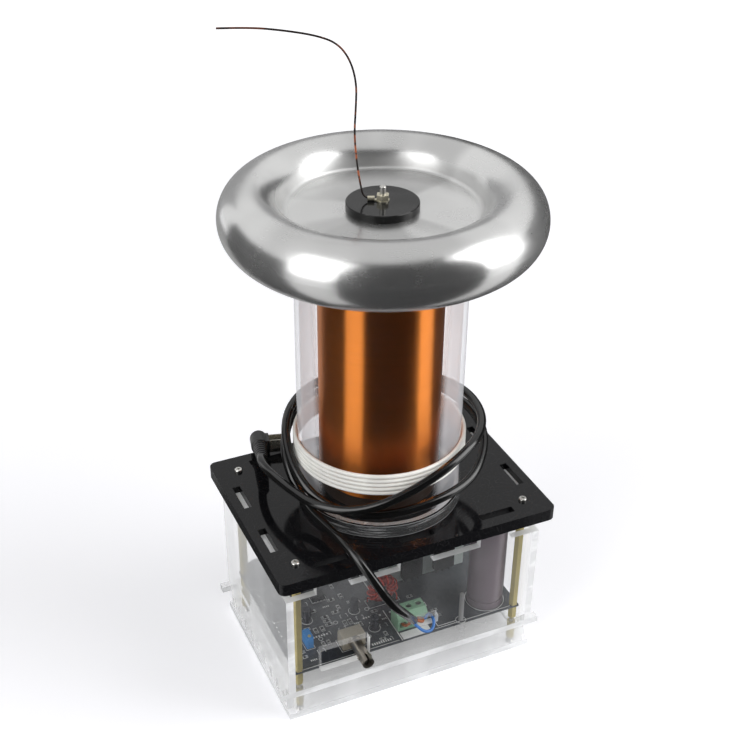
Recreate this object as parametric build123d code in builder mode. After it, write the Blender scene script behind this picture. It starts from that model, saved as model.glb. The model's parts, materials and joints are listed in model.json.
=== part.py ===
"""Desktop resonant transformer on a clear two-tier case, in millimetres.

The origin lies on the table under the middle of the case, +Z is up, +X runs along the case's long side
and -Y is the front, where the fibre receiver and the cord slot are.
"""
from build123d import *
from math import acos, asin, cos, degrees, pi, radians, sin, sqrt, tan
import os

os.makedirs("parts", exist_ok=True)

# ------------------------------------------------------------------ case sheets
sheet = 5.0                      # clear sheet of the walls and floors
case_length = 187.0              # over the outer faces of the side walls
case_depth = 125.0               # over the outer faces of the front and back walls
lug_length = 6.5                 # the mid floor's corner lugs beyond the side walls
lug_width = 5.5
notch_clearance = 0.2            # between the side walls and the mid floor's end notches
lower_tier = 15.0                # free height between the two floors
vent_gap = 14.5                  # open gap between the walls' shoulders and the top plate
vent_count = 9
vent_margin = 3.4                # between the last vent and the inner faces of the lower walls
vent_width = 5.0
vent_height = 9.0

plate_overhang_x = 6.5           # of the top plate beyond the side walls
plate_overhang_y = 8.5           # beyond the front and back walls
plate_thickness = 9.0
plate_corner = 5.0

tab_width = 24.4
tab_clearance = 0.3              # all round a tab in its slot, along the wall
slot_play = 0.2                  # each side of a tab, across the wall
tab_recess = 5.0                 # tab tops below the plate's upper face
front_tab_inset = 28.5           # of the outer tabs' middles from the ends of the front and back walls
side_tab_pitch = 50.0

# ------------------------------------------------------------------ fasteners
screw_inset_x = 5.3              # screws from the inner faces of the side walls
screw_inset_y = 3.3              # screws from the inner faces of the front and back walls
m3_radius = 1.5
m3_hole = 1.7
thread_play = 0.1                # radial room between a thread and its hole
head_radius = 2.8
head_height = 2.1
head_round = 0.9
cross_length = 3.2
cross_width = 0.8
cross_depth = 1.0
countersink_radius = 3.0
countersink_angle = 90.0
standoff_flats = 5.5
short_standoff = 10.0
long_standoff = 85.0
stud_reach = 4.0                 # of a standoff's own stud in the next standoff
standoff_bore = 10.0
screw_reach = 6.0                # of the top screws in the long standoffs
base_screw_length = 10.0

# ------------------------------------------------------------------ circuit board
board_gap_x = 2.0                # between the board's ends and the side walls
board_gap_y = 0.5                # between the board's long edges and the front and back walls
board_thickness = 1.6
layout_length = 173.0            # board size on which the places of its parts are given;
layout_depth = 114.0             # on another board they keep their shares of its size

# ------------------------------------------------------------------ tubes
disc_ledge = 1.5                 # the base disc's edge beyond the tube
disc_thickness = 9.0
tube_radius = 55.0
tube_wall = 3.0
tube_length = 198.0
former_radius = 40.0
former_wall = 2.0
cap_thickness = 6.0
cap_play = 0.1
lead_hole = 4.0
winding_thickness = 0.4
winding_margin = 9.5             # bare former below the winding
winding_top_margin = 18.0
winding_play = 0.05
disc_screw_ring = 46.0
disc_screw_count = 3
disc_screw_reach = 7.0

# ------------------------------------------------------------------ primary winding
primary_wire = 2.75
primary_pitch = 3.2
primary_base = 35.3              # axis of its lowest turn above the top plate
primary_turns = 4.875
primary_start_angle = 62.0
primary_play = 0.3
primary_lead_bend = 6.0
primary_lead_step = 4.6          # the upper lead stands this far outside the turns
primary_lead_room = 0.6          # between the lower lead and the base disc
primary_lead_sweep = 28.0        # degrees over which it moves out
primary_lead_hole = 1.9

# ------------------------------------------------------------------ toroid and electrode
toroid_minor = 20.0
toroid_gap = 5.3                 # between the clear tube and the ring's inner side, seen from above
toroid_sheet = 1.2
dish_rise = 3.6                  # of the flat centre above the toroid's middle plane
dish_blend = 2.5
top_disc_radius = 22.5
top_disc_thickness = 4.8
top_disc_chamfer = 0.5
m4_radius = 2.0
m4_play = 0.15
m4_nut_flats = 7.0
m4_nut_height = 3.2
stud_above_disc = 9.5
stud_below_cap = 6.0
stud_chamfer = 0.4
terminal_gap = 0.1
terminal_thickness = 0.8
terminal_radius = 4.0
crimp_start = 5.0
crimp_end = 9.2
crimp_radius = 1.5
crimp_bore = 0.7
tongue_width = 2.4
electrode_angle = 157.3          # the terminal's direction, degrees from +X
wire_radius = 0.6

# ------------------------------------------------------------------ parts on the board
trimmer_size = (4.8, 9.5, 10.0)
trimmer_at = (-68.0, -34.0)
trimmer_screw_radius = 1.1
trimmer_screw_play = 0.15
trimmer_screw_depth = 2.0
trimmer_screw_rise = 0.7
trimmer_screw_offset = 3.0
screw_slot_depth = 0.6
screw_slot_width = 0.5

receiver_size = (17.0, 10.5, 10.5)
receiver_at = (-39.7, -44.8)
receiver_round = 0.6
receiver_chamfer = 0.5
receiver_axis_height = 6.2       # above the board
barrel_radius = 4.2
barrel_flange_radius = 4.9
barrel_flange = 2.0
barrel_length = 23.5
barrel_bore = 2.9
barrel_bore_depth = 18.0
barrel_key_width = 1.4
barrel_key_length = 6.0
barrel_lug_radius = 0.8
barrel_lug_rise = 0.9
barrel_lug_back = 7.5
opening_past_trimmer = 1.6       # the opening's left edge beyond the trimmer's middle
opening_past_receiver = 6.0      # its right edge beyond the receiver's middle
opening_rise = 0.4               # its lower edge above the board
opening_height = 18.5
cord_slot_shift = 4.2            # the cord slot's middle, right of the terminal block's middle
cord_slot_rise = 13.9            # its lower edge above the board
cord_slot_size = (15.6, 6.5)

terminal_pitch = 7.62
terminal_ways = 3
terminal_at = (6.0, -42.0)
terminal_depth = 12.0
terminal_height = 14.0
terminal_chamfer = 3.2
terminal_entry = 5.0
terminal_entry_depth = 8.0
terminal_entry_height = 5.0      # of an entry's middle above the board
terminal_screw_radius = 2.0
terminal_screw_play = 0.2
terminal_screw_length = 4.0
terminal_screw_sink = 0.8
terminal_screw_back = 1.8
terminal_slot_width = 0.7
terminal_slot_depth = 0.9

capacitor_radius = 13.0
capacitor_height = 72.0
capacitor_at = (67.0, -41.0)
capacitor_round = 1.6
capacitor_groove = 0.7
capacitor_groove_height = 5.5
bulk_radius = 8.0
bulk_height = 16.5
bulk_at = [(-77.0, 40.0), (-77.0, 3.0)]
bulk_round = 1.0
small_radius = 3.15
small_height = 11.0
small_at = [(-25.0, -16.0), (-19.0, -38.0), (-52.0, 22.0), (-60.0, -12.0)]
small_round = 0.5

chip_size = (9.4, 6.4, 3.3)
chip_at = [(-44.0, 8.0), (-44.0, 34.0)]
chip_stand = 0.5
chip_leg = 0.5
chip_leg_pitch = 2.54
chip_leg_count = 4
chip_leg_spread = 7.6
chip_leg_rise = 1.6

smd_size = (3.2, 1.6, 0.9)
smd_at = [(-53.0, -5.0), (-36.0, 1.0), (-47.0, -14.0), (-47.0, -18.0), (-47.0, -22.0), (-38.0, -12.0)]
smd_turned = [(-58.0, -24.0), (-53.0, -24.0), (-32.0, -25.0), (-36.0, -25.0), (-28.0, 2.0), (-62.0, 4.0)]

core_major = 7.8
core_minor = 3.0
core_at = (-2.0, -14.0)
core_stand = 0.3
gate_turns = 9
gate_wire = 1.1
gate_play = 0.3
gate_spread = 240.0
gate_lead_bend = 3.0

sink_length = 62.0
sink_base = 5.0
sink_depth = 24.0
sink_height = 26.0
sink_fins = 9
sink_fin = 1.6
sink_at = (40.0, 0.0)            # middle of the face that carries the power devices
device_size = (15.6, 5.0, 20.5)
device_pitch = 26.0
device_stand = 4.0
device_leg = (1.2, 0.6)
device_leg_pitch = 5.45
device_leg_count = 3

rectifier_size = (22.0, 4.0, 17.0)
rectifier_at = (-22.0, 44.0)
rectifier_chamfer = 3.0
rectifier_leg = 1.2
rectifier_leg_pitch = 5.0
rectifier_leg_count = 4
rectifier_stand = 4.0

post_radius = 1.75
post_height = 25.0
post_at = (40.7, -54.6)
post_round = 1.2

# ------------------------------------------------------------------ cord, plug and cores
cord_diameter = 6.0
core_diameter = 2.2
core_spread = 1.3                # of each core's axis from the cord's axis
core_straight = 4.0              # straight run of a core out of the sheath
core_approach = 2.8              # last bend's distance in front of the terminal block
core_entry = 3.5                 # of a core's end inside the block
core_lift = 0.7                  # of the brown core's last bend above the entry, half of the blue core's
plug_radius = 6.2
plug_length = 20.0
plug_round = 1.6
plug_boss = 7.2
plug_boss_size = (16.4, 7.6)
blade_size = (1.5, 6.3, 9.6)
blade_spacing = 11.0
blade_first = 4.6

# ------------------------------------------------------------------ heights above the table
base_top = sheet
mid_bottom = base_top + lower_tier
mid_top = mid_bottom + sheet
board_bottom = mid_top + short_standoff
board_top = board_bottom + board_thickness
plate_bottom = board_top + long_standoff
plate_top = plate_bottom + plate_thickness
shoulder_top = plate_bottom - vent_gap
tab_top = plate_top - tab_recess
disc_top = plate_top + disc_thickness
disc_radius = tube_radius + disc_ledge
tube_top = disc_top + tube_length
dish_under = tube_top + toroid_sheet
dish_top = dish_under + toroid_sheet
toroid_middle = dish_top - dish_rise
toroid_major = tube_radius + toroid_gap + toroid_minor
top_disc_top = dish_top + top_disc_thickness

countersink_depth = (countersink_radius - m3_radius) / tan(radians(countersink_angle / 2))
wall_x = case_length / 2 - sheet
wall_y = case_depth / 2 - sheet
plate_length = case_length + 2 * plate_overhang_x
plate_depth = case_depth + 2 * plate_overhang_y
board_length = 2 * (wall_x - board_gap_x)
board_depth = 2 * (wall_y - board_gap_y)
vent_pitch = (2 * (wall_y - vent_margin) - vent_width) / (vent_count - 1)
screw_x = wall_x - screw_inset_x
screw_y = wall_y - screw_inset_y
screw_points = [(x, y) for x in (-screw_x, screw_x) for y in (-screw_y, screw_y)]
front_tabs = [front_tab_inset - wall_x, 0.0, wall_x - front_tab_inset]
side_tabs = [-side_tab_pitch / 2, side_tab_pitch / 2]
disc_screw_points = [
    (disc_screw_ring * cos(radians(90 + k * 360 / disc_screw_count)),
     disc_screw_ring * sin(radians(90 + k * 360 / disc_screw_count)))
    for k in range(disc_screw_count)
]


# ------------------------------------------------------------------ places on the board
def place(point: tuple) -> tuple:
    """A place given on the layout's board, moved with the real board's size."""
    return point[0] * board_length / layout_length, point[1] * board_depth / layout_depth


trimmer_x, trimmer_y = place(trimmer_at)
receiver_x, receiver_y = place(receiver_at)
terminal_middle, terminal_row = place(terminal_at)
core_x, core_y = place(core_at)
sink_x, sink_y = place(sink_at)
rectifier_x, rectifier_y = place(rectifier_at)

opening_left = trimmer_x - opening_past_trimmer
opening_right = receiver_x + opening_past_receiver
opening_center = ((opening_left + opening_right) / 2, board_top + opening_rise + opening_height / 2)
cord_slot_center = (terminal_middle + cord_slot_shift, board_top + cord_slot_rise + cord_slot_size[1] / 2)


# ------------------------------------------------------------------ shared helpers
def save(piece: BuildPart, name: str) -> None:
    """Label a finished piece and write it to its STEP file."""
    piece.part.label = name
    export_step(piece.part, f"parts/{name}.step")


def corner_radii(points: list, largest: float = 0.45) -> list:
    """Radius of the arc at each inner point: a share of the shorter run over the tangent of half the turn."""
    radii = []
    for before, corner, after in zip(points, points[1:], points[2:]):
        run_in = Vector(*corner) - Vector(*before)
        run_out = Vector(*after) - Vector(*corner)
        half_turn = radians(run_in.get_angle(run_out)) / 2
        radii.append(largest * min(run_in.length, run_out.length) / tan(half_turn))
    return radii


def arc_between(start: Vector, corner: Vector, end: Vector) -> Edge:
    """Circular arc from start to end whose end tangents meet at the corner."""
    chord_middle = (start + end) * 0.5
    half_chord = (end - start).length / 2
    half_turn = acos(min(1.0, half_chord / (corner - start).length))
    if half_turn < 1e-6:
        return Line(start, end)
    bulge = (corner - chord_middle) * (tan(half_turn / 2) / tan(half_turn))
    return ThreePointArc(start, chord_middle + bulge, end)


def add_biarc(start: Vector, start_way: Vector, end: Vector, end_way: Vector) -> None:
    """Two tangent arcs between two points with given directions, added to the open BuildLine."""
    gap = end - start
    ways = start_way + end_way
    turn = 2 * (1 - start_way.dot(end_way))
    if turn < 1e-9:
        reach = gap.dot(gap) / (4 * gap.dot(end_way))
    else:
        along = gap.dot(ways)
        reach = (-along + sqrt(along * along + turn * gap.dot(gap))) / turn
    first_corner = start + start_way * reach
    second_corner = end - end_way * reach
    joint = (first_corner + second_corner) * 0.5
    arc_between(start, first_corner, joint)
    arc_between(joint, second_corner, end)


def tangent(curve, t: float, step: float = 1e-4) -> Vector:
    """Unit direction of a curve function at t."""
    return (curve(t + step) - curve(t - step)).normalized()


def least_self_gap(curve, turns: float, wire: float, samples: int = 90) -> float:
    """Smallest gap between the surfaces of neighbouring turns, measured on points."""
    count = int(turns * samples)
    points = [curve(k / samples) for k in range(count + 1)]
    least = 1e9
    for i in range(count + 1 - samples // 2):
        for j in range(i + samples // 2, min(count + 1, i + 2 * samples)):
            least = min(least, (points[i] - points[j]).length)
    return least - wire


def at_points(height: float, points: list, draw) -> Sketch:
    """Sketch at this height with what draw() draws at every point."""
    with BuildSketch(Plane.XY.offset(height)) as marks:
        with Locations(*points):
            draw()
    return marks.sketch


def circle(radius: float):
    """What draws a circle of this radius."""
    return lambda: Circle(radius)


def hexagon(flats: float):
    """What draws a hexagon of this size over its flats."""
    return lambda: RegularPolygon(radius=flats / 2, side_count=6, major_radius=False)


def cross() -> None:
    """The two bars of a cross recess."""
    Rectangle(cross_length, cross_width)
    Rectangle(cross_width, cross_length)


def hex_posts(bottom: float, height: float, bore: float, stud_length: float) -> None:
    """Four hexagonal standoffs at the screw points, bored from the top and with a stud below."""
    extrude(at_points(bottom, screw_points, hexagon(standoff_flats)), amount=height)
    mouths = at_points(bottom + height, screw_points, circle(m3_radius + thread_play))
    extrude(mouths, amount=-bore, mode=Mode.SUBTRACT)
    if stud_length > 0:
        extrude(at_points(bottom, screw_points, circle(m3_radius)), amount=-stud_length)


def pan_screws(seat: float, points: list, length: float, up: int) -> None:
    """Pan-head screws on a flat seat; up is 1 where the heads stand above it, -1 below."""
    extrude(at_points(seat, points, circle(head_radius)), amount=up * head_height)
    outer = edges().filter_by(GeomType.CIRCLE).group_by(Axis.Z)[-1 if up > 0 else 0]
    fillet(outer, head_round)
    extrude(at_points(seat + up * head_height, points, cross), amount=-up * cross_depth, mode=Mode.SUBTRACT)
    extrude(at_points(seat, points, circle(m3_radius)), amount=-up * length)


def ring_tube(bottom: float, height: float, outer: float, inner: float) -> None:
    """Straight tube standing on the axis."""
    with BuildSketch(Plane.XY.offset(bottom)) as ring:
        Circle(outer)
        Circle(inner, mode=Mode.SUBTRACT)
    extrude(ring.sketch, amount=height)


def round_can(points: list, radius: float, height: float, rounding: float) -> None:
    """Round cans standing on the board, their upper edges rounded."""
    extrude(at_points(board_top, points, circle(radius)), amount=height)
    fillet(edges().filter_by(GeomType.CIRCLE).group_by(Axis.Z)[-1], rounding)


# ------------------------------------------------------------------ case floors
with BuildPart() as base_plate:
    with BuildSketch():
        Rectangle(case_length, case_depth)
    extrude(amount=sheet)
    with Locations(*[Location((x, y, 0), (180, 0, 0)) for x, y in screw_points]):
        CounterSinkHole(m3_hole, countersink_radius + thread_play, depth=sheet,
                        counter_sink_angle=countersink_angle)
save(base_plate, "base_plate")

with BuildPart() as mid_floor:
    with BuildSketch(Plane.XY.offset(mid_bottom)):
        Rectangle(case_length + 2 * lug_length, case_depth)
        notch_length = sheet + notch_clearance + lug_length
        notch_depth = case_depth - 2 * lug_width + 2 * notch_clearance
        with Locations(*[(side * (case_length / 2 + lug_length - notch_length / 2), 0) for side in (-1, 1)]):
            Rectangle(notch_length, notch_depth, mode=Mode.SUBTRACT)
        with Locations(*screw_points):
            Circle(m3_hole, mode=Mode.SUBTRACT)
    extrude(amount=sheet)
save(mid_floor, "mid_floor")

# ------------------------------------------------------------------ lower front and back walls
for name, plane in (("lower_wall_front", Plane.XZ.offset(wall_y)),
                    ("lower_wall_back", Plane.XZ.offset(-wall_y - sheet))):
    with BuildPart() as lower_wall:
        with BuildSketch(plane):
            with Locations((0, base_top + lower_tier / 2)):
                Rectangle(2 * wall_x, lower_tier)
        extrude(amount=sheet)
    save(lower_wall, name)


# ------------------------------------------------------------------ upper front and back walls
def wall_outline(bottom: float, half_width: float, tabs: list) -> None:
    """Wall from its foot to its shoulders, with tabs that reach into the top plate."""
    with Locations((0, (bottom + shoulder_top) / 2)):
        Rectangle(2 * half_width, shoulder_top - bottom)
    with Locations(*[(t, (shoulder_top + tab_top) / 2) for t in tabs]):
        Rectangle(tab_width, tab_top - shoulder_top)


with BuildPart() as front_wall:
    with BuildSketch(Plane.XZ.offset(wall_y)):
        wall_outline(mid_top, wall_x, front_tabs)
        with Locations(opening_center):
            Rectangle(opening_right - opening_left, opening_height, mode=Mode.SUBTRACT)
        with Locations(cord_slot_center):
            Rectangle(*cord_slot_size, mode=Mode.SUBTRACT)
    extrude(amount=sheet)
save(front_wall, "front_wall")

with BuildPart() as back_wall:
    with BuildSketch(Plane.XZ.offset(-wall_y - sheet)):
        wall_outline(mid_top, wall_x, front_tabs)
    extrude(amount=sheet)
save(back_wall, "back_wall")

# ------------------------------------------------------------------ side walls, one panel through both tiers
vent_offset = (vent_count - 1) / 2
for name, plane in (("side_wall_left", Plane.YZ.offset(-wall_x - sheet)),
                    ("side_wall_right", Plane.YZ.offset(wall_x))):
    with BuildPart() as side_wall:
        with BuildSketch(plane):
            wall_outline(mid_top, case_depth / 2, side_tabs)
            with Locations((0, (base_top + mid_top) / 2)):
                Rectangle(case_depth - 2 * lug_width, mid_top - base_top)
            for k in range(vent_count):
                with Locations(((k - vent_offset) * vent_pitch, base_top + lower_tier / 2)):
                    SlotOverall(vent_height, vent_width, rotation=90, mode=Mode.SUBTRACT)
        extrude(amount=sheet)
    save(side_wall, name)


# ------------------------------------------------------------------ primary winding's line
primary_radius = tube_radius + primary_play + primary_wire / 2
primary_end_angle = primary_start_angle + 360 * primary_turns
primary_low = plate_top + primary_base


def primary_turn(t: float) -> Vector:
    """Axis of the primary wire after t turns."""
    angle = radians(primary_start_angle) + 2 * pi * t
    return Vector(primary_radius * cos(angle), primary_radius * sin(angle), primary_low + primary_pitch * t)


def flat_way(angle: float) -> Vector:
    """Horizontal direction along a circle about the axis at this angle in degrees."""
    return Vector(-sin(radians(angle)), cos(radians(angle)), 0)


lead_out_angle = primary_end_angle + primary_lead_sweep
lead_out_radius = primary_radius + primary_lead_step
lead_out_top = Vector(
    lead_out_radius * cos(radians(lead_out_angle)),
    lead_out_radius * sin(radians(lead_out_angle)),
    primary_turn(primary_turns).Z,
)
drop = Vector(0, 0, -primary_lead_bend)
lead_in_scale = (disc_radius + primary_lead_room + primary_wire / 2) / primary_radius
lead_in_side = Vector(primary_turn(0).X * lead_in_scale, primary_turn(0).Y * lead_in_scale, primary_low)
lead_in_bend = lead_in_side - flat_way(primary_start_angle) * primary_lead_bend + drop
lead_out_bend = lead_out_top + flat_way(lead_out_angle) * primary_lead_bend + drop
lead_points = [(lead_in_bend.X, lead_in_bend.Y), (lead_out_bend.X, lead_out_bend.Y)]

# ------------------------------------------------------------------ top plate
with BuildPart() as top_plate:
    with BuildSketch(Plane.XY.offset(plate_bottom)):
        RectangleRounded(plate_length, plate_depth, plate_corner)
        with Locations(*[(x, side * (wall_y + sheet / 2)) for x in front_tabs for side in (-1, 1)]):
            Rectangle(tab_width + 2 * tab_clearance, sheet + 2 * slot_play, mode=Mode.SUBTRACT)
        with Locations(*[(side * (wall_x + sheet / 2), y) for y in side_tabs for side in (-1, 1)]):
            Rectangle(sheet + 2 * slot_play, tab_width + 2 * tab_clearance, mode=Mode.SUBTRACT)
        with Locations(*screw_points, *disc_screw_points):
            Circle(m3_hole, mode=Mode.SUBTRACT)
        with Locations(*lead_points):
            Circle(primary_lead_hole, mode=Mode.SUBTRACT)
        Circle(lead_hole, mode=Mode.SUBTRACT)
    extrude(amount=plate_thickness)
save(top_plate, "top_plate")

# ------------------------------------------------------------------ standoffs and screws
with BuildPart() as lower_standoffs:
    hex_posts(base_top, lower_tier, lower_tier, 0)
save(lower_standoffs, "lower_standoffs")

with BuildPart() as short_standoffs:
    hex_posts(mid_top, short_standoff, short_standoff / 2, sheet + stud_reach)
save(short_standoffs, "short_standoffs")

with BuildPart() as long_standoffs:
    hex_posts(board_top, long_standoff, standoff_bore, board_thickness + stud_reach)
save(long_standoffs, "long_standoffs")

with BuildPart() as top_screws:
    pan_screws(plate_top, screw_points, plate_thickness + screw_reach, 1)
save(top_screws, "top_screws")

with BuildPart() as disc_screws:
    pan_screws(plate_bottom, disc_screw_points, plate_thickness + disc_screw_reach, -1)
save(disc_screws, "disc_screws")

with BuildPart() as base_screws:
    with Locations(*[(x, y, 0) for x, y in screw_points]):
        Cone(countersink_radius, m3_radius, countersink_depth, align=(Align.CENTER, Align.CENTER, Align.MIN))
    shanks = at_points(countersink_depth, screw_points, circle(m3_radius))
    extrude(shanks, amount=base_screw_length - countersink_depth)
    extrude(at_points(0, screw_points, cross), amount=cross_depth, mode=Mode.SUBTRACT)
save(base_screws, "base_screws")

# ------------------------------------------------------------------ circuit board
with BuildPart() as circuit_board:
    with BuildSketch(Plane.XY.offset(board_bottom)):
        Rectangle(board_length, board_depth)
        with Locations(*screw_points):
            Circle(m3_hole, mode=Mode.SUBTRACT)
    extrude(amount=board_thickness)
save(circuit_board, "circuit_board")

# ------------------------------------------------------------------ trimmer
trimmer_top = board_top + trimmer_size[2]
trimmer_screw_point = (trimmer_x, trimmer_y - trimmer_screw_offset)
with BuildPart() as trimmer_body:
    with BuildSketch(Plane.XY.offset(board_top)):
        with Locations((trimmer_x, trimmer_y)):
            Rectangle(trimmer_size[0], trimmer_size[1])
    extrude(amount=trimmer_size[2])
    with BuildSketch(Plane.XY.offset(trimmer_top)):
        with Locations(trimmer_screw_point):
            Circle(trimmer_screw_radius + trimmer_screw_play)
    extrude(amount=-trimmer_screw_depth, mode=Mode.SUBTRACT)
save(trimmer_body, "trimmer_body")

with BuildPart() as trimmer_screw:
    with BuildSketch(Plane.XY.offset(trimmer_top - trimmer_screw_depth)):
        with Locations(trimmer_screw_point):
            Circle(trimmer_screw_radius)
    extrude(amount=trimmer_screw_depth + trimmer_screw_rise)
    with BuildSketch(Plane.XY.offset(trimmer_top + trimmer_screw_rise)):
        with Locations(trimmer_screw_point):
            Rectangle(2 * trimmer_screw_radius, screw_slot_width)
    extrude(amount=-screw_slot_depth, mode=Mode.SUBTRACT)
save(trimmer_screw, "trimmer_screw")

# ------------------------------------------------------------------ fibre receiver
receiver_axis = board_top + receiver_axis_height
receiver_front = receiver_y - receiver_size[1] / 2
with BuildPart() as receiver_housing:
    with BuildSketch(Plane.XY.offset(board_top)):
        with Locations((receiver_x, receiver_y)):
            Rectangle(receiver_size[0], receiver_size[1])
    extrude(amount=receiver_size[2])
    fillet(edges().filter_by(Axis.Z), receiver_round)
    chamfer(edges().group_by(Axis.Z)[-1], receiver_chamfer)
save(receiver_housing, "receiver_housing")

with BuildPart() as receiver_barrel:
    with BuildSketch(Plane.XZ.offset(-receiver_front)):
        with Locations((receiver_x, receiver_axis)):
            Circle(barrel_radius)
    extrude(amount=barrel_length)
    with BuildSketch(Plane.XZ.offset(-receiver_front)):
        with Locations((receiver_x, receiver_axis)):
            Circle(barrel_flange_radius)
    extrude(amount=barrel_flange)
    with BuildSketch(Plane.XZ.offset(-receiver_front + barrel_length - barrel_lug_back)):
        with Locations((receiver_x, receiver_axis)):
            SlotCenterToCenter(2 * (barrel_radius + barrel_lug_rise - barrel_lug_radius), 2 * barrel_lug_radius)
    extrude(amount=2 * barrel_lug_radius)
    with BuildSketch(Plane.XZ.offset(-receiver_front + barrel_length)):
        with Locations((receiver_x, receiver_axis)):
            Circle(barrel_bore)
    extrude(amount=-barrel_bore_depth, mode=Mode.SUBTRACT)
    with BuildSketch(Plane.XZ.offset(-receiver_front + barrel_length)):
        with Locations((receiver_x, receiver_axis + barrel_radius / 2 + barrel_bore / 2)):
            Rectangle(barrel_key_width, barrel_radius)
    extrude(amount=-barrel_key_length, mode=Mode.SUBTRACT)
save(receiver_barrel, "receiver_barrel")

# ------------------------------------------------------------------ terminal block and its clamp screws
terminal_top = board_top + terminal_height
terminal_width = terminal_pitch * terminal_ways
terminal_front = terminal_row - terminal_depth / 2
terminal_x = [terminal_middle + (k - (terminal_ways - 1) / 2) * terminal_pitch for k in range(terminal_ways)]
terminal_screw_y = terminal_row + terminal_screw_back
with BuildPart() as terminal_block:
    with BuildSketch(Plane.YZ.offset(terminal_middle - terminal_width / 2)):
        with BuildLine():
            Polyline(
                (terminal_front, board_top),
                (terminal_front + terminal_depth, board_top),
                (terminal_front + terminal_depth, terminal_top),
                (terminal_front + terminal_chamfer, terminal_top),
                (terminal_front, terminal_top - terminal_chamfer),
                close=True,
            )
        make_face()
    extrude(amount=terminal_width)
    with BuildSketch(Plane.XZ.offset(-terminal_front)):
        with Locations(*[(x, board_top + terminal_entry_height) for x in terminal_x]):
            Rectangle(terminal_entry, terminal_entry)
    extrude(amount=-terminal_entry_depth, mode=Mode.SUBTRACT)
    with BuildSketch(Plane.XY.offset(terminal_top)):
        with Locations(*[(x, terminal_screw_y) for x in terminal_x]):
            Circle(terminal_screw_radius + terminal_screw_play)
    extrude(amount=-terminal_screw_sink - terminal_screw_length, mode=Mode.SUBTRACT)
save(terminal_block, "terminal_block")

for way, x in enumerate(terminal_x, start=1):
    with BuildPart() as terminal_screw:
        with BuildSketch(Plane.XY.offset(terminal_top - terminal_screw_sink)):
            with Locations((x, terminal_screw_y)):
                Circle(terminal_screw_radius)
        extrude(amount=-terminal_screw_length)
        with BuildSketch(Plane.XY.offset(terminal_top - terminal_screw_sink)):
            with Locations((x, terminal_screw_y)):
                Rectangle(2 * terminal_screw_radius, terminal_slot_width)
        extrude(amount=-terminal_slot_depth, mode=Mode.SUBTRACT)
    save(terminal_screw, f"terminal_screw_{way}")

# ------------------------------------------------------------------ capacitors
with BuildPart() as large_capacitor:
    round_can([place(capacitor_at)], capacitor_radius, capacitor_height, capacitor_round)
    with BuildSketch(Plane.XY.offset(board_top + capacitor_groove_height)):
        with Locations(place(capacitor_at)):
            Circle(capacitor_radius)
            Circle(capacitor_radius - capacitor_groove, mode=Mode.SUBTRACT)
    extrude(amount=2 * capacitor_groove, mode=Mode.SUBTRACT)
save(large_capacitor, "large_capacitor")

with BuildPart() as bulk_capacitors:
    round_can([place(point) for point in bulk_at], bulk_radius, bulk_height, bulk_round)
save(bulk_capacitors, "bulk_capacitors")

with BuildPart() as small_capacitors:
    round_can([place(point) for point in small_at], small_radius, small_height, small_round)
save(small_capacitors, "small_capacitors")

# ------------------------------------------------------------------ chips and surface-mounted parts
leg_offset = (chip_leg_count - 1) / 2
with BuildPart() as control_chips:
    with BuildSketch(Plane.XY.offset(board_top + chip_stand)):
        with Locations(*[place(point) for point in chip_at]):
            Rectangle(chip_size[0], chip_size[1])
    extrude(amount=chip_size[2])
    with BuildSketch(Plane.XY.offset(board_top)):
        for cx, cy in [place(point) for point in chip_at]:
            with Locations(*[(cx + (k - leg_offset) * chip_leg_pitch, cy + side * chip_leg_spread / 2)
                             for k in range(chip_leg_count) for side in (-1, 1)]):
                Rectangle(chip_leg, chip_leg_spread - chip_size[1])
    extrude(amount=chip_stand + chip_leg_rise)
save(control_chips, "control_chips")

with BuildPart() as surface_parts:
    with BuildSketch(Plane.XY.offset(board_top)):
        with Locations(*[place(point) for point in smd_at]):
            Rectangle(smd_size[0], smd_size[1])
        with Locations(*[place(point) for point in smd_turned]):
            Rectangle(smd_size[1], smd_size[0])
    extrude(amount=smd_size[2])
save(surface_parts, "surface_parts")

# ------------------------------------------------------------------ gate transformer
core_center = Vector(core_x, core_y, board_top + core_stand + core_major + core_minor)
gate_loop = core_minor + gate_play + gate_wire / 2
gate_first_angle = 90 + gate_spread / 2


def gate_turn(t: float) -> Vector:
    """Axis of the gate winding's wire after t loops round the ring."""
    around = radians(gate_first_angle - gate_spread * t / gate_turns)
    loop = 2 * pi * t
    radial = core_major + gate_loop * cos(loop)
    return core_center + Vector(radial * cos(around), -gate_loop * sin(loop), radial * sin(around))


with BuildPart() as gate_transformer_core:
    with BuildSketch(Plane.XY.offset(core_center.Z)):
        with Locations((core_x + core_major, core_y)):
            Circle(core_minor)
    revolve(axis=Axis((core_center.X, core_center.Y, core_center.Z), (0, 1, 0)), revolution_arc=360)
save(gate_transformer_core, "gate_transformer_core")

with BuildPart() as gate_transformer_winding:
    with BuildLine() as gate_line:
        gate_drop = Vector(0, 0, -gate_lead_bend)
        gate_way_in = tangent(gate_turn, 0)
        gate_way_out = tangent(gate_turn, gate_turns)
        gate_in = gate_turn(0) - gate_way_in * gate_lead_bend + gate_drop
        gate_out = gate_turn(gate_turns) + gate_way_out * gate_lead_bend + gate_drop
        Line((gate_in.X, gate_in.Y, board_top), gate_in)
        add_biarc(gate_in, Vector(0, 0, 1), gate_turn(0), gate_way_in)
        for quarter in range(4 * gate_turns):
            t0, t1 = quarter / 4, (quarter + 1) / 4
            add_biarc(gate_turn(t0), tangent(gate_turn, t0), gate_turn(t1), tangent(gate_turn, t1))
        add_biarc(gate_turn(gate_turns), gate_way_out, gate_out, Vector(0, 0, -1))
        Line(gate_out, (gate_out.X, gate_out.Y, board_top))
    with BuildSketch(Plane(origin=gate_line.line @ 0, z_dir=gate_line.line % 0)):
        Circle(gate_wire / 2)
    sweep()
save(gate_transformer_winding, "gate_transformer_winding")
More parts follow.
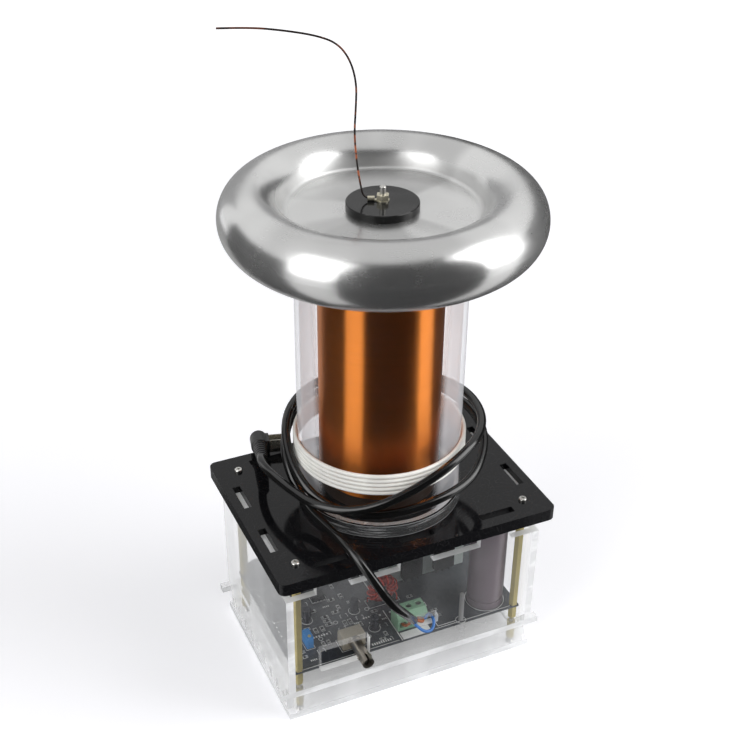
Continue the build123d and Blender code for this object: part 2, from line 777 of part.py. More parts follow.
print("gate winding, least gap between turns:", round(least_self_gap(gate_turn, gate_turns, gate_wire), 2))

# ------------------------------------------------------------------ heatsink, power devices and rectifier
with BuildPart() as heatsink:
    with BuildSketch(Plane.XY.offset(board_top)):
        with Locations((sink_x, sink_y + sink_base / 2)):
            Rectangle(sink_length, sink_base)
        fin_step = (sink_length - sink_fin) / (sink_fins - 1)
        for k in range(sink_fins):
            with Locations((sink_x - sink_length / 2 + sink_fin / 2 + k * fin_step,
                            sink_y + sink_depth / 2)):
                Rectangle(sink_fin, sink_depth)
    extrude(amount=sink_height)
save(heatsink, "heatsink")

device_leg_offset = (device_leg_count - 1) / 2
with BuildPart() as power_devices:
    device_x = [sink_x - device_pitch / 2, sink_x + device_pitch / 2]
    device_y = sink_y - device_size[1] / 2
    with BuildSketch(Plane.XY.offset(board_top + device_stand)):
        with Locations(*[(x, device_y) for x in device_x]):
            Rectangle(device_size[0], device_size[1])
    extrude(amount=device_size[2])
    with BuildSketch(Plane.XY.offset(board_top)):
        with Locations(*[(x + (k - device_leg_offset) * device_leg_pitch, device_y)
                         for x in device_x for k in range(device_leg_count)]):
            Rectangle(*device_leg)
    extrude(amount=device_stand)
save(power_devices, "power_devices")

rectifier_leg_offset = (rectifier_leg_count - 1) / 2
with BuildPart() as bridge_rectifier:
    with BuildSketch(Plane.XZ.offset(-rectifier_y - rectifier_size[1] / 2)):
        with Locations((rectifier_x, board_top + rectifier_stand + rectifier_size[2] / 2)):
            Rectangle(rectifier_size[0], rectifier_size[2])
    extrude(amount=rectifier_size[1])
    chamfer(edges().filter_by(Axis.Y).group_by(Axis.Z)[-1].group_by(Axis.X)[0], rectifier_chamfer)
    with BuildSketch(Plane.XY.offset(board_top)):
        with Locations(*[(rectifier_x + (k - rectifier_leg_offset) * rectifier_leg_pitch, rectifier_y)
                         for k in range(rectifier_leg_count)]):
            Rectangle(rectifier_leg, rectifier_leg)
    extrude(amount=rectifier_stand)
save(bridge_rectifier, "bridge_rectifier")

with BuildPart() as board_post:
    round_can([place(post_at)], post_radius, post_height, post_round)
save(board_post, "board_post")

# ------------------------------------------------------------------ tubes and caps
with BuildPart() as tube_base_disc:
    with BuildSketch(Plane.XY.offset(plate_top)):
        Circle(disc_radius)
        Circle(lead_hole, mode=Mode.SUBTRACT)
    extrude(amount=disc_thickness)
    with BuildSketch(Plane.XY.offset(plate_top)):
        with Locations(*disc_screw_points):
            Circle(m3_radius + thread_play)
    extrude(amount=disc_screw_reach + 2 * thread_play, mode=Mode.SUBTRACT)
save(tube_base_disc, "tube_base_disc")

with BuildPart() as outer_tube:
    ring_tube(disc_top, tube_length, tube_radius, tube_radius - tube_wall)
save(outer_tube, "outer_tube")

with BuildPart() as secondary_former:
    ring_tube(disc_top, tube_length, former_radius, former_radius - former_wall)
save(secondary_former, "secondary_former")

with BuildPart() as former_lower_cap:
    ring_tube(disc_top, cap_thickness, former_radius - former_wall - cap_play, lead_hole)
save(former_lower_cap, "former_lower_cap")

with BuildPart() as former_upper_cap:
    ring_tube(tube_top - cap_thickness, cap_thickness, former_radius - former_wall - cap_play,
              m4_radius + m4_play)
save(former_upper_cap, "former_upper_cap")

with BuildPart() as secondary_winding:
    ring_tube(disc_top + winding_margin, tube_length - winding_margin - winding_top_margin,
              former_radius + winding_play + winding_thickness, former_radius + winding_play)
save(secondary_winding, "secondary_winding")

# ------------------------------------------------------------------ primary winding
with BuildPart() as primary_winding:
    with BuildLine() as primary_line:
        up = Vector(0, 0, 1)
        Line((lead_in_bend.X, lead_in_bend.Y, board_top), lead_in_bend)
        add_biarc(lead_in_bend, up, primary_turn(0), tangent(primary_turn, 0))
        steps = int(4 * primary_turns)
        marks = [k / 4 for k in range(steps + 1)] + [primary_turns]
        for t0, t1 in zip(marks, marks[1:]):
            add_biarc(primary_turn(t0), tangent(primary_turn, t0), primary_turn(t1), tangent(primary_turn, t1))
        add_biarc(primary_turn(primary_turns), tangent(primary_turn, primary_turns),
                  lead_out_top, flat_way(lead_out_angle))
        add_biarc(lead_out_top, flat_way(lead_out_angle), lead_out_bend, -up)
        Line(lead_out_bend, (lead_out_bend.X, lead_out_bend.Y, board_top))
    with BuildSketch(Plane(origin=primary_line.line @ 0, z_dir=primary_line.line % 0)):
        Circle(primary_wire / 2)
    sweep()
save(primary_winding, "primary_winding")
print("primary, least gap between turns:", round(least_self_gap(primary_turn, primary_turns, primary_wire), 2))


# ------------------------------------------------------------------ toroid, two spun halves
def arc_reach(radius: float, rise: float) -> float:
    """Angle at which a circle of this radius about the tube's centre stands this high on its inner side."""
    return 180 - degrees(asin(rise / radius))


inner_minor = toroid_minor - toroid_sheet
middle = (toroid_major, toroid_middle)
with BuildPart() as toroid_upper:
    with BuildSketch(Plane.XZ) as upper_profile:
        with BuildLine():
            outside = CenterArc(middle, toroid_minor, 0, arc_reach(toroid_minor, dish_rise))
            inside = CenterArc(middle, inner_minor, 0, arc_reach(inner_minor, dish_rise - toroid_sheet))
            Line(outside @ 0, inside @ 0)
            Polyline(outside @ 1, (m4_radius + m4_play, dish_top), (m4_radius + m4_play, dish_under), inside @ 1)
        make_face()
        blend_points = vertices().filter_by(lambda v: abs(v.X - (outside @ 1).X) < 1e-3)
        fillet(blend_points, dish_blend)
    revolve(axis=Axis.Z)
save(toroid_upper, "toroid_upper")

with BuildPart() as toroid_lower:
    with BuildSketch(Plane.XZ):
        with BuildLine():
            outside = CenterArc(middle, toroid_minor, 0,
                                arc_reach(toroid_minor, dish_rise - 2 * toroid_sheet) - 360)
            inside = CenterArc(middle, inner_minor, 0, arc_reach(inner_minor, dish_rise - toroid_sheet) - 360)
            Line(outside @ 0, inside @ 0)
            Polyline(outside @ 1, (m4_radius + m4_play, tube_top), (m4_radius + m4_play, dish_under), inside @ 1)
        make_face()
    revolve(axis=Axis.Z)
save(toroid_lower, "toroid_lower")

# ------------------------------------------------------------------ top disc, stud and nuts
with BuildPart() as top_disc:
    ring_tube(dish_top, top_disc_thickness, top_disc_radius, m4_radius + m4_play)
    chamfer(edges().filter_by(GeomType.CIRCLE).sort_by(Axis.Z)[-2:].sort_by(SortBy.RADIUS)[-1],
            top_disc_chamfer)
save(top_disc, "top_disc")

stud_bottom = tube_top - cap_thickness - stud_below_cap
stud_top = top_disc_top + stud_above_disc
with BuildPart() as stud:
    with BuildSketch(Plane.XY.offset(stud_bottom)):
        Circle(m4_radius)
    extrude(amount=stud_top - stud_bottom)
    chamfer(edges().filter_by(GeomType.CIRCLE), stud_chamfer)
save(stud, "stud")

terminal_low = top_disc_top + terminal_gap
nut_low = terminal_low + terminal_thickness + terminal_gap
for name, low in (("stud_top_nut", nut_low),
                  ("stud_lower_nut", tube_top - cap_thickness - m4_nut_height)):
    with BuildPart() as nut:
        with BuildSketch(Plane.XY.offset(low)):
            RegularPolygon(radius=m4_nut_flats / 2, side_count=6, major_radius=False)
            Circle(m4_radius + thread_play, mode=Mode.SUBTRACT)
        extrude(amount=m4_nut_height)
    save(nut, name)

# ------------------------------------------------------------------ ring terminal and breakout wire
electrode_way = Vector(cos(radians(electrode_angle)), sin(radians(electrode_angle)), 0)
terminal_plane = Plane(origin=(0, 0, terminal_low), x_dir=electrode_way, z_dir=(0, 0, 1))
crimp_plane = Plane(origin=electrode_way * crimp_start + Vector(0, 0, terminal_low + crimp_radius),
                    x_dir=(0, 0, 1), z_dir=electrode_way)
with BuildPart() as ring_terminal:
    with BuildSketch(terminal_plane):
        Circle(terminal_radius)
        with Locations((crimp_start / 2, 0)):
            Rectangle(crimp_start, tongue_width)
        Circle(m4_radius + m4_play, mode=Mode.SUBTRACT)
    extrude(amount=terminal_thickness)
    with BuildSketch(crimp_plane):
        Circle(crimp_radius)
    extrude(amount=crimp_end - crimp_start)
    with BuildSketch(crimp_plane):
        Circle(crimp_bore)
    extrude(amount=crimp_end - crimp_start, mode=Mode.SUBTRACT)
save(ring_terminal, "ring_terminal")

wire_foot = terminal_low + crimp_radius
# outward reach and height above the crimp's axis of each point of the bent wire
wire_route = [(6.5, 0.0), (11.5, 0.0), (13.6, 9.5), (15.8, 24.0), (17.2, 41.0), (16.2, 58.0), (16.0, 71.5),
              (19.5, 84.5), (26.5, 94.0), (38.5, 98.6), (57.0, 101.6), (75.5, 103.4), (94.0, 103.0)]
wire_points = [tuple(electrode_way * s + Vector(0, 0, wire_foot + h)) for s, h in wire_route]
wire_radii = corner_radii(wire_points)
print("breakout wire radii:", [round(r, 1) for r in wire_radii])
with BuildPart() as breakout_wire:
    with BuildLine() as wire_line:
        FilletPolyline(*wire_points, radius=wire_radii)
    with BuildSketch(Plane(origin=wire_line.line @ 0, z_dir=wire_line.line % 0)):
        Circle(wire_radius)
    sweep()
save(breakout_wire, "breakout_wire")

# ------------------------------------------------------------------ mains cord, wound round the tube
# points of the route from the plug to the stripped end, above the top plate's upper face
cord_route = [
    (-63.0, 64.0, 8.2), (-66.5, 51.5, 11.5), (-73.5, 34.0, 19.0), (-74.0, 13.0, 23.5), (-69.0, -10.0, 25.0),
    (-61.5, -34.0, 26.0), (-41.5, -53.0, 27.5), (-15.8, -63.6, 37.5), (24.7, -61.2, 52.0),
    (61.1, -38.2, 57.0), (70.8, 5.0, 57.5), (50.6, 42.4, 56.5), (13.6, 64.1, 56.0), (-27.7, 59.4, 55.5),
    (-57.2, 33.0, 51.5), (-65.1, -6.8, 34.0), (-51.8, -34.9, 20.0), (-23.5, -58.2, 21.5), (17.5, -61.0, 25.5),
    (52.0, -46.8, 27.0), (73.6, -17.0, 40.0), (67.5, 24.5, 47.5), (38.0, 60.6, 48.0), (-6.8, 65.8, 47.5),
    (-45.8, 47.5, 45.0), (-65.0, 13.8, 35.0), (-60.4, -16.2, 12.5), (-54.0, -41.0, 10.0), (-53.0, -60.0, 13.0),
    (-48.3, -77.3, 8.2), (-42.0, -89.5, -3.7), (-32.5, -93.5, -21.0), (-19.5, -84.0, -40.5),
    (-9.5, -73.5, -57.0), (-3.0, -66.3, -68.0),
]
cord_points = [(x, y, z + plate_top) for x, y, z in cord_route]
cord_radii = corner_radii(cord_points)
print("cord radii:", [round(r, 1) for r in cord_radii])
with BuildPart() as mains_cord:
    with BuildLine() as cord_line:
        FilletPolyline(*cord_points, radius=cord_radii)
    with BuildSketch(Plane(origin=cord_line.line @ 0, z_dir=cord_line.line % 0)):
        Circle(cord_diameter / 2)
    sweep()
save(mains_cord, "mains_cord")
cord_length = cord_line.wire().length
cord_volume = pi * (cord_diameter / 2) ** 2 * cord_length
print("cord length:", round(cord_length, 1), "volume ratio:", round(mains_cord.part.volume / cord_volume, 4))

# ------------------------------------------------------------------ plug
plug_mouth = Vector(*cord_points[0])
plug_way = (plug_mouth - Vector(*cord_points[1])).normalized()
blade_way = plug_way.cross(Vector(0, 0, 1)).normalized()
plug_plane = Plane(origin=plug_mouth, x_dir=blade_way, z_dir=plug_way)
boss_middle = blade_first + blade_spacing / 2
with BuildPart() as plug_body:
    with BuildSketch(plug_plane):
        Circle(plug_radius)
    extrude(amount=plug_length)
    fillet(edges().filter_by(GeomType.CIRCLE), plug_round)
    with BuildSketch(Plane(origin=plug_mouth + plug_way * boss_middle, x_dir=plug_way, z_dir=blade_way)):
        Rectangle(*plug_boss_size)
    extrude(amount=plug_boss)
save(plug_body, "plug_body")

with BuildPart() as plug_blades:
    blade_root = plug_mouth + plug_way * boss_middle + blade_way * plug_boss
    with BuildSketch(Plane(origin=blade_root, x_dir=plug_way, z_dir=blade_way)):
        with Locations((-blade_spacing / 2, 0), (blade_spacing / 2, 0)):
            Rectangle(blade_size[0], blade_size[1])
    extrude(amount=blade_size[2])
save(plug_blades, "plug_blades")

# ------------------------------------------------------------------ the two cores, from the sheath to the block
cord_end = Vector(*cord_points[-1])
cord_way = (cord_end - Vector(*cord_points[-2])).normalized()
core_side = cord_way.cross(Vector(0, 1, 0)).normalized()
entry_height = board_top + terminal_entry_height
brown_start = cord_end + core_side * core_spread
blue_start = cord_end - core_side * core_spread
core_routes = {
    "core_brown": [
        tuple(brown_start), tuple(brown_start + cord_way * core_straight), (4.5, -64.8, 56.8), (7.5, -60.5, 54.4),
        (6.0, -55.0, 52.3), (0.8, -52.8, 46.5),
        (terminal_x[0], terminal_front - core_approach, entry_height + core_lift),
        (terminal_x[0], terminal_front + core_entry, entry_height),
    ],
    "core_blue": [
        tuple(blue_start), tuple(blue_start + cord_way * core_straight), (1.6, -66.5, 53.4), (6.0, -68.0, 49.6),
        (11.4, -67.2, 48.8), (14.8, -63.5, 52.4), (15.0, -57.2, 53.8), (14.6, -52.6, 50.0),
        (terminal_x[-1], terminal_front - core_approach, entry_height + 2 * core_lift),
        (terminal_x[-1], terminal_front + core_entry, entry_height),
    ],
}
for name, route in core_routes.items():
    core_radii = corner_radii(route)
    print(name, "radii:", [round(r, 1) for r in core_radii])
    with BuildPart() as core:
        with BuildLine() as core_line:
            FilletPolyline(*route, radius=core_radii)
        with BuildSketch(Plane(origin=core_line.line @ 0, z_dir=core_line.line % 0)):
            Circle(core_diameter / 2)
        sweep()
    save(core, name)
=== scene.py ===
"""Looks of a desktop resonant transformer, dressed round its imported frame.

Lengths are in millimetres in the row frame: the origin lies on the table under the tube's axis, +Z runs
up the tube and -Y points out of the front wall. Lengths inside the materials are in metres.
"""

import json
import logging
import math
from dataclasses import dataclass
from enum import Enum
from typing import Sequence

import bmesh
import bpy
from mathutils import Matrix, Vector

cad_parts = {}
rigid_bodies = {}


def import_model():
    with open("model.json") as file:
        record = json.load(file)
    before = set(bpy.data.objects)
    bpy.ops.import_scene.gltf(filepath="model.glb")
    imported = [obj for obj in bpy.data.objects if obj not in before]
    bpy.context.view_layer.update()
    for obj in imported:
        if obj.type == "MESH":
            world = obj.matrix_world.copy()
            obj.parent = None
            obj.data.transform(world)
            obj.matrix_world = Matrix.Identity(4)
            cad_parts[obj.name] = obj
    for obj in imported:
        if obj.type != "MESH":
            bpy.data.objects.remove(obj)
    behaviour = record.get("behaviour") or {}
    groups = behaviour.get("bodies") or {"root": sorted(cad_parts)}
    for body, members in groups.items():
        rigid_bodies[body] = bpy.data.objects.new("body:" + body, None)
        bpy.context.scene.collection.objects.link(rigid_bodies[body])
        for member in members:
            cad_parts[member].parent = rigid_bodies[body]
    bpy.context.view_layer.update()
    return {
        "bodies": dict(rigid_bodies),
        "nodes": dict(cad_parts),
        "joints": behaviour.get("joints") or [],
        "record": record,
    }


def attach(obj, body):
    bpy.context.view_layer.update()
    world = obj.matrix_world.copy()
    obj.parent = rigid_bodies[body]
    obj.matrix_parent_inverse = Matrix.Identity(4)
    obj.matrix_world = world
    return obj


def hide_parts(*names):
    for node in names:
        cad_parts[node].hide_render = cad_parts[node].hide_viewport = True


LOG = logging.getLogger("scene")
MM = 0.001
BOARD_TOP = 36.6
PLATE_TOP = 130.6
DISC_HEIGHT = 9.0
FULL_TURN = 2 * math.pi
QUARTER = 0.25
ACRYLIC_IOR = 1.49
WHITE = (1.0, 1.0, 1.0, 1.0)
Colour = tuple[float, float, float]
Point = tuple[float, float, float]
Socket = bpy.types.NodeSocket
Outputs = bpy.types.NodeOutputs


class Body(Enum):
    """Bodies of the frame that pieces ride on."""

    CASE = "case"
    ELECTRODE = "electrode"


class Facing(Enum):
    """Thickness direction of a flat sheet."""

    X = (1.0, 0.0, 0.0)
    Y = (0.0, 1.0, 0.0)
    Z = (0.0, 0.0, 1.0)


# ---------------------------------------------------------------- node graphs


class Graph:
    """A node tree with short calls that add nodes and join them."""

    def __init__(self, tree: bpy.types.NodeTree) -> None:
        """Keeps the tree that nodes are added to."""
        self.tree = tree

    def feed(self, node: bpy.types.Node, inputs: dict) -> bpy.types.Node:
        """Links sockets to a node's inputs, or sets the inputs' own values.

        Args:
            node: the node.
            inputs: input names or numbers, with output sockets or plain values for them.

        Returns:
            The node.
        """
        for key, value in inputs.items():
            if isinstance(value, bpy.types.NodeSocket):
                self.tree.links.new(value, node.inputs[key])
            else:
                node.inputs[key].default_value = value
        return node

    def add(self, kind: str, inputs: dict | None = None, **settings: object) -> bpy.types.Node:
        """Adds a node.

        Args:
            kind: the node's type name.
            inputs: input names or numbers, with output sockets or plain values for them.
            **settings: attributes of the node.

        Returns:
            The node.
        """
        node = self.tree.nodes.new(kind)
        for name, value in settings.items():
            setattr(node, name, value)
        return self.feed(node, inputs or {})

    def use(self, tree: bpy.types.NodeTree, inputs: dict) -> Outputs:
        """Places a node group and returns its outputs."""
        return self.add("ShaderNodeGroup", inputs, node_tree=tree).outputs

    def place(self) -> Socket:
        """Returns the point on the piece, in the row frame."""
        return self.add("ShaderNodeTexCoord").outputs["Object"]

    def parts(self, vector: object) -> Outputs:
        """Splits a vector and returns its three outputs."""
        return self.add("ShaderNodeSeparateXYZ", {0: vector}).outputs

    def join(self, x: object, y: object, z: object) -> Socket:
        """Joins three values into a vector and returns it."""
        return self.add("ShaderNodeCombineXYZ", {0: x, 1: y, 2: z}).outputs[0]

    def vector(self, operation: str, first: object, second: object = (0.0, 0.0, 0.0)) -> Outputs:
        """Adds a vector math node and returns its outputs."""
        return self.add("ShaderNodeVectorMath", {0: first, 1: second}, operation=operation).outputs

    def math(self, operation: str, first: object, second: object = 0.0, clamp: bool = False) -> Socket:
        """Adds a math node and returns its output."""
        inputs = {0: first, 1: second}
        return self.add("ShaderNodeMath", inputs, operation=operation, use_clamp=clamp).outputs[0]

    def plus(self, first: object, second: object, clamp: bool = False) -> Socket:
        """Returns the sum of two values."""
        return self.math("ADD", first, second, clamp)

    def less(self, first: object, second: object) -> Socket:
        """Returns the first value less the second."""
        return self.math("SUBTRACT", first, second)

    def times(self, first: object, second: object, clamp: bool = False) -> Socket:
        """Returns the product of two values."""
        return self.math("MULTIPLY", first, second, clamp)

    def over(self, first: object, second: object) -> Socket:
        """Returns the first value divided by the second."""
        return self.math("DIVIDE", first, second)

    def larger(self, first: object, second: object) -> Socket:
        """Returns the larger of two values."""
        return self.math("MAXIMUM", first, second)

    def raised(self, base: object, mask: object, by: float) -> Socket:
        """Returns a base value raised by an amount where a mask is one, kept from zero to one."""
        return self.plus(self.times(mask, by), base, True)

    def between(self, mask: object, first: object, second: object) -> Socket:
        """Returns a value that goes from first to second with a mask, kept from zero to one."""
        return self.plus(self.times(mask, self.less(second, first)), first, True)

    def span(self, value: object, low: float, high: float, to_low: float = 0.0,
             to_high: float = 1.0) -> Socket:
        """Maps a value smoothly from one range to another, clamped, and returns the result."""
        inputs = {"Value": value, "From Min": low, "From Max": high, "To Min": to_low, "To Max": to_high}
        return self.add("ShaderNodeMapRange", inputs, interpolation_type="SMOOTHSTEP").outputs["Result"]

    def mix(self, factor: object, first: object, second: object) -> Socket:
        """Mixes two colours and returns the result."""
        return self.add("ShaderNodeMix", {0: factor, 6: first, 7: second}, data_type="RGBA").outputs[2]

    def noise(self, vector: object, scale: object, detail: float, roughness: float = 0.55) -> Socket:
        """Adds a noise texture and returns its value."""
        inputs = {"Vector": vector, "Scale": scale, "Detail": detail, "Roughness": roughness}
        return self.add("ShaderNodeTexNoise", inputs).outputs[0]

    def streaks(self, scales: Point, detail: float, roughness: float = 0.55) -> Socket:
        """Adds a noise over the piece with its own scale along each axis, and returns its value."""
        return self.noise(self.vector("MULTIPLY", self.place(), scales)["Vector"], 1.0, detail, roughness)

    def cells(self, vector: object, scale: float) -> Socket:
        """Adds cells and returns the distance to their borders."""
        inputs = {"Vector": vector, "Scale": scale}
        return self.add("ShaderNodeTexVoronoi", inputs, feature="DISTANCE_TO_EDGE").outputs["Distance"]

    def bump(self, height: object, distance: float, strength: float) -> Socket:
        """Adds a bump node and returns its normal."""
        inputs = {"Height": height, "Distance": distance, "Strength": strength}
        return self.add("ShaderNodeBump", inputs).outputs[0]

    def seen(self) -> Socket:
        """Returns one for rays from the camera and off or through shiny pieces, else zero."""
        path = self.add("ShaderNodeLightPath").outputs
        return self.larger(path["Is Camera Ray"],
                           self.larger(path["Is Glossy Ray"], path["Is Transmission Ray"]))


def shaded(colour: Colour, factor: float = 1.0) -> tuple[float, float, float, float]:
    """Gives a colour made darker or lighter by a factor, with an alpha of one."""
    return (*[min(1.0, part * factor) for part in colour], 1.0)


class SharedGroups:
    """Node groups that several finishes place in their own materials."""

    def __init__(self) -> None:
        """Builds every group once."""
        self.grain = self._grain()
        self.cut_edge = self._cut_edge()
        self.handling = self._handling()
        self.turned = self._turned()
        self.wire_turns = self._wire_turns()

    @staticmethod
    def _start(name: str, inputs: dict[str, float],
               outputs: Sequence[str]) -> tuple[Graph, Outputs, bpy.types.Node]:
        """Starts a group.

        Args:
            name: the group's name.
            inputs: names and first values of its number inputs.
            outputs: names of its number outputs.

        Returns:
            The graph, the group's input values by name, and the node that takes its outputs.
        """
        tree = bpy.data.node_groups.new(name, "ShaderNodeTree")
        for label, value in inputs.items():
            socket = tree.interface.new_socket(name=label, in_out="INPUT", socket_type="NodeSocketFloat")
            socket.default_value = value
        for label in outputs:
            tree.interface.new_socket(name=label, in_out="OUTPUT", socket_type="NodeSocketFloat")
        graph = Graph(tree)
        return graph, graph.add("NodeGroupInput").outputs, graph.add("NodeGroupOutput")

    def _grain(self) -> bpy.types.NodeTree:
        """Builds fine moulded grain with broad cloudy variation.

        Returns:
            The group.
        """
        graph, entry, leave = self._start("surface grain", {"Scale": 900.0}, ["Fine", "Broad"])
        here = graph.place()
        graph.feed(leave, {
            "Fine": graph.noise(here, entry["Scale"], detail=4.0, roughness=0.6),
            "Broad": graph.noise(here, 28.0, detail=3.0, roughness=0.5),
        })
        return graph.tree

    def _cut_edge(self) -> bpy.types.NodeTree:
        """Builds a sheet's sawn-edge mask, the saw's fine stripes, painted glints and broad upright painted
        reflection.

        Returns:
            The group.
        """
        graph, entry, leave = self._start(
            "cut edge", {"X": 0.0, "Y": 0.0, "Z": 1.0}, ["Edge", "Stripes", "Glint", "Painted reflection"])
        axis = graph.join(entry["X"], entry["Y"], entry["Z"])
        normal = graph.add("ShaderNodeNewGeometry").outputs["Normal"]
        along = graph.math("ABSOLUTE", graph.vector("DOT_PRODUCT", normal, axis)["Value"])
        graph.feed(leave, {
            "Edge": graph.span(along, 0.35, 0.75, 1.0, 0.0),
            "Stripes": graph.streaks((900.0, 900.0, 900.0), detail=2.0),
            # Glint: where painted highlights go on the sawn edges.
            "Glint": graph.span(graph.streaks((30.0, 30.0, 70.0), detail=3.0, roughness=0.6), 0.42, 0.66),
            # Painted reflection: broad upright streaks where the sheets are made paler.
            "Painted reflection": graph.span(graph.streaks((26.0, 26.0, 7.0), detail=2.0, roughness=0.5), 0.4, 0.66),
        })
        return graph.tree

    def _handling(self) -> bpy.types.NodeTree:
        """Builds smudges and thin scratches left by handling.

        Returns:
            The group.
        """
        graph, entry, leave = self._start("handling marks", {"Size": 30.0}, ["Smudge", "Scratch"])
        here = graph.place()
        sway = graph.add("ShaderNodeTexNoise", {"Vector": here, "Scale": 12.0}).outputs["Color"]
        bent = graph.vector("ADD", here, sway)["Vector"]
        graph.feed(leave, {
            "Smudge": graph.span(graph.noise(here, entry["Size"], detail=4.0, roughness=0.65), 0.42, 0.7),
            "Scratch": graph.span(graph.cells(bent, 55.0), 0.0, 0.012, 1.0, 0.0),
        })
        return graph.tree

    def _turned(self) -> bpy.types.NodeTree:
        """Builds tool lines round the tube's axis, as on spun sheet, and broad painted reflection wedges from
        side to side.

        Returns:
            The group.
        """
        graph, entry, leave = self._start(
            "turned lines", {"Pitch": 0.0009, "Fold at": 0.0607}, ["Line", "Painted wedges", "Fold"])
        x, y, z = graph.parts(graph.place())
        reach = graph.math("SQRT", graph.plus(graph.times(x, x), graph.times(y, y)))
        angle = graph.math("ARCTAN2", y, x)
        outwards, upwards = graph.over(reach, entry["Pitch"]), graph.over(z, entry["Pitch"])
        tool = graph.join(outwards, upwards, graph.times(angle, 0.25))
        across = graph.join(graph.over(x, reach), graph.over(y, reach), graph.times(reach, 4.0))
        # Painted reflection: two lighter and two darker lobes round the axis, in a bow-tie.
        painted_bow_tie = graph.math("COSINE", graph.plus(graph.times(angle, 2.0), 0.79))
        from_fold = graph.math("ABSOLUTE", graph.less(reach, entry["Fold at"]))
        graph.feed(leave, {
            "Line": graph.noise(tool, 1.0, detail=3.0, roughness=0.7),
            "Painted wedges": graph.plus(graph.noise(across, 1.7, detail=1.0, roughness=0.5), graph.times(painted_bow_tie, 0.15)),
            "Fold": graph.span(from_fold, 0.0, 0.005, 1.0, 0.0),
        })
        return graph.tree

    def _wire_turns(self) -> bpy.types.NodeTree:
        """Builds fine turns of a wound wire by height, with a tint that changes from turn to turn.

        Returns:
            The group.
        """
        graph, entry, leave = self._start("wire turns", {"Pitch": 0.00025}, ["Height", "Tint"])
        x, y, z = graph.parts(graph.place())
        turn = graph.over(z, entry["Pitch"])
        angle = graph.times(graph.math("ARCTAN2", y, x), 0.6)
        graph.feed(leave, {
            "Height": graph.math("SINE", graph.times(turn, FULL_TURN)),
            "Tint": graph.noise(graph.join(angle, 0.0, turn), 0.35, detail=4.0, roughness=0.6),
        })
        return graph.tree


class Surface(Graph):
    """The graph of one material, with the shared groups at hand."""

    def __init__(self, tree: bpy.types.NodeTree, groups: SharedGroups) -> None:
        """Keeps the material's tree and the shared groups."""
        super().__init__(tree)
        self.groups = groups

    def grain(self, scale: float) -> Outputs:
        """Places the surface grain and returns its outputs."""
        return self.use(self.groups.grain, {"Scale": scale})

    def marks(self, size: float) -> Outputs:
        """Places the handling marks and returns their outputs."""
        return self.use(self.groups.handling, {"Size": size})

    def cut(self, facing: Facing = Facing.Z) -> Outputs:
        """Places the masks of a sheet's sawn edges and returns their outputs."""
        return self.use(self.groups.cut_edge, dict(zip("XYZ", facing.value)))

    def slope(self) -> Socket:
        """Returns how steeply a face is seen, from zero when square on to one when edge on."""
        return self.add("ShaderNodeLayerWeight", {"Blend": 0.5}).outputs["Facing"]

    def outside(self) -> Socket:
        """Returns one where a face is seen from outside, else zero."""
        return self.less(1.0, self.add("ShaderNodeNewGeometry").outputs["Backfacing"])

    def brushed(self, amount: float) -> dict:
        """Gives the Principled BSDF inputs of metal with lines round the Z axis."""
        around = self.add("ShaderNodeTangent", direction_type="RADIAL", axis="Z").outputs[0]
        return {"Anisotropic": amount, "Anisotropic Rotation": QUARTER, "Tangent": around}


# ---------------------------------------------------------------- finishes


@dataclass(frozen=True)
class Finish:
    """A finish that makes a named material when it is first used."""

    name: str
    colour: Colour

    def toned(self, graph: Surface, mask: Socket, low: float, high: float, dark: float,
              light: float) -> Socket:
        """Shades the colour by factors from dark to light as a mask rises from low to high."""
        return graph.mix(graph.span(mask, low, high), shaded(self.colour, dark), shaded(self.colour, light))

    def flecked(self, graph: Surface, base: object, mask: Socket, share: float, tone: float) -> Socket:
        """Mixes a tone of the colour into a base where a mask is high, up to a share."""
        return graph.mix(graph.times(mask, share), base, shaded(self.colour, tone))

    def surface(self, graph: Surface) -> dict:
        """Builds the finish in a material.

        Args:
            graph: the material's graph.

        Returns:
            Inputs of its Principled BSDF by name, with sockets or plain values for them.
        """
        raise NotImplementedError

    def material(self, groups: SharedGroups) -> bpy.types.Material:
        """Makes the material.

        Args:
            groups: the shared node groups.

        Returns:
            The material.
        """
        made = bpy.data.materials.new(self.name)
        made.use_nodes = True
        graph = Surface(made.node_tree, groups)
        graph.feed(made.node_tree.nodes["Principled BSDF"], self.surface(graph))
        return made


@dataclass(frozen=True)
class Moulded(Finish):
    """Moulded or coated plastic and rubber."""

    roughness: float = 0.4
    spread: float = 0.12
    grain: float = 900.0
    depth: float = 0.00004
    coat: float = 0.0
    coat_roughness: float = 0.08
    specular: float = 0.5

    def surface(self, graph: Surface) -> dict:
        """Builds the plastic with its grain and smudges.

        Args:
            graph: the material's graph.

        Returns:
            Inputs of its Principled BSDF.
        """
        grain = graph.grain(self.grain)
        marks = graph.marks(size=60.0)
        base = self.toned(graph, grain["Broad"], 0.35, 0.65, dark=0.86, light=1.12)
        return {
            "Base Color": self.flecked(graph, base, grain["Fine"], share=0.18, tone=1.5),
            "Roughness": graph.raised(self.roughness, marks["Smudge"], self.spread),
            "Normal": graph.bump(grain["Fine"], self.depth, strength=0.6),
            "Coat Weight": self.coat,
            "Coat Roughness": self.coat_roughness,
            "Specular IOR Level": self.specular,
        }


@dataclass(frozen=True)
class BareMetal(Finish):
    """Plain plated or machined metal."""

    roughness: float = 0.28
    grain: float = 500.0
    depth: float = 0.00003
    dull: float = 0.7
    metal: float = 1.0

    def surface(self, graph: Surface) -> dict:
        """Builds the metal with fine grain and duller patches.

        Args:
            graph: the material's graph.

        Returns:
            Inputs of its Principled BSDF.
        """
        grain = graph.grain(self.grain)
        marks = graph.marks(size=90.0)
        return {
            "Base Color": self.toned(graph, grain["Broad"], 0.3, 0.7, dark=self.dull, light=1.0),
            "Roughness": graph.raised(self.roughness, marks["Smudge"], by=0.12),
            "Normal": graph.bump(grain["Fine"], self.depth, strength=0.5),
            "Metallic": self.metal,
        }


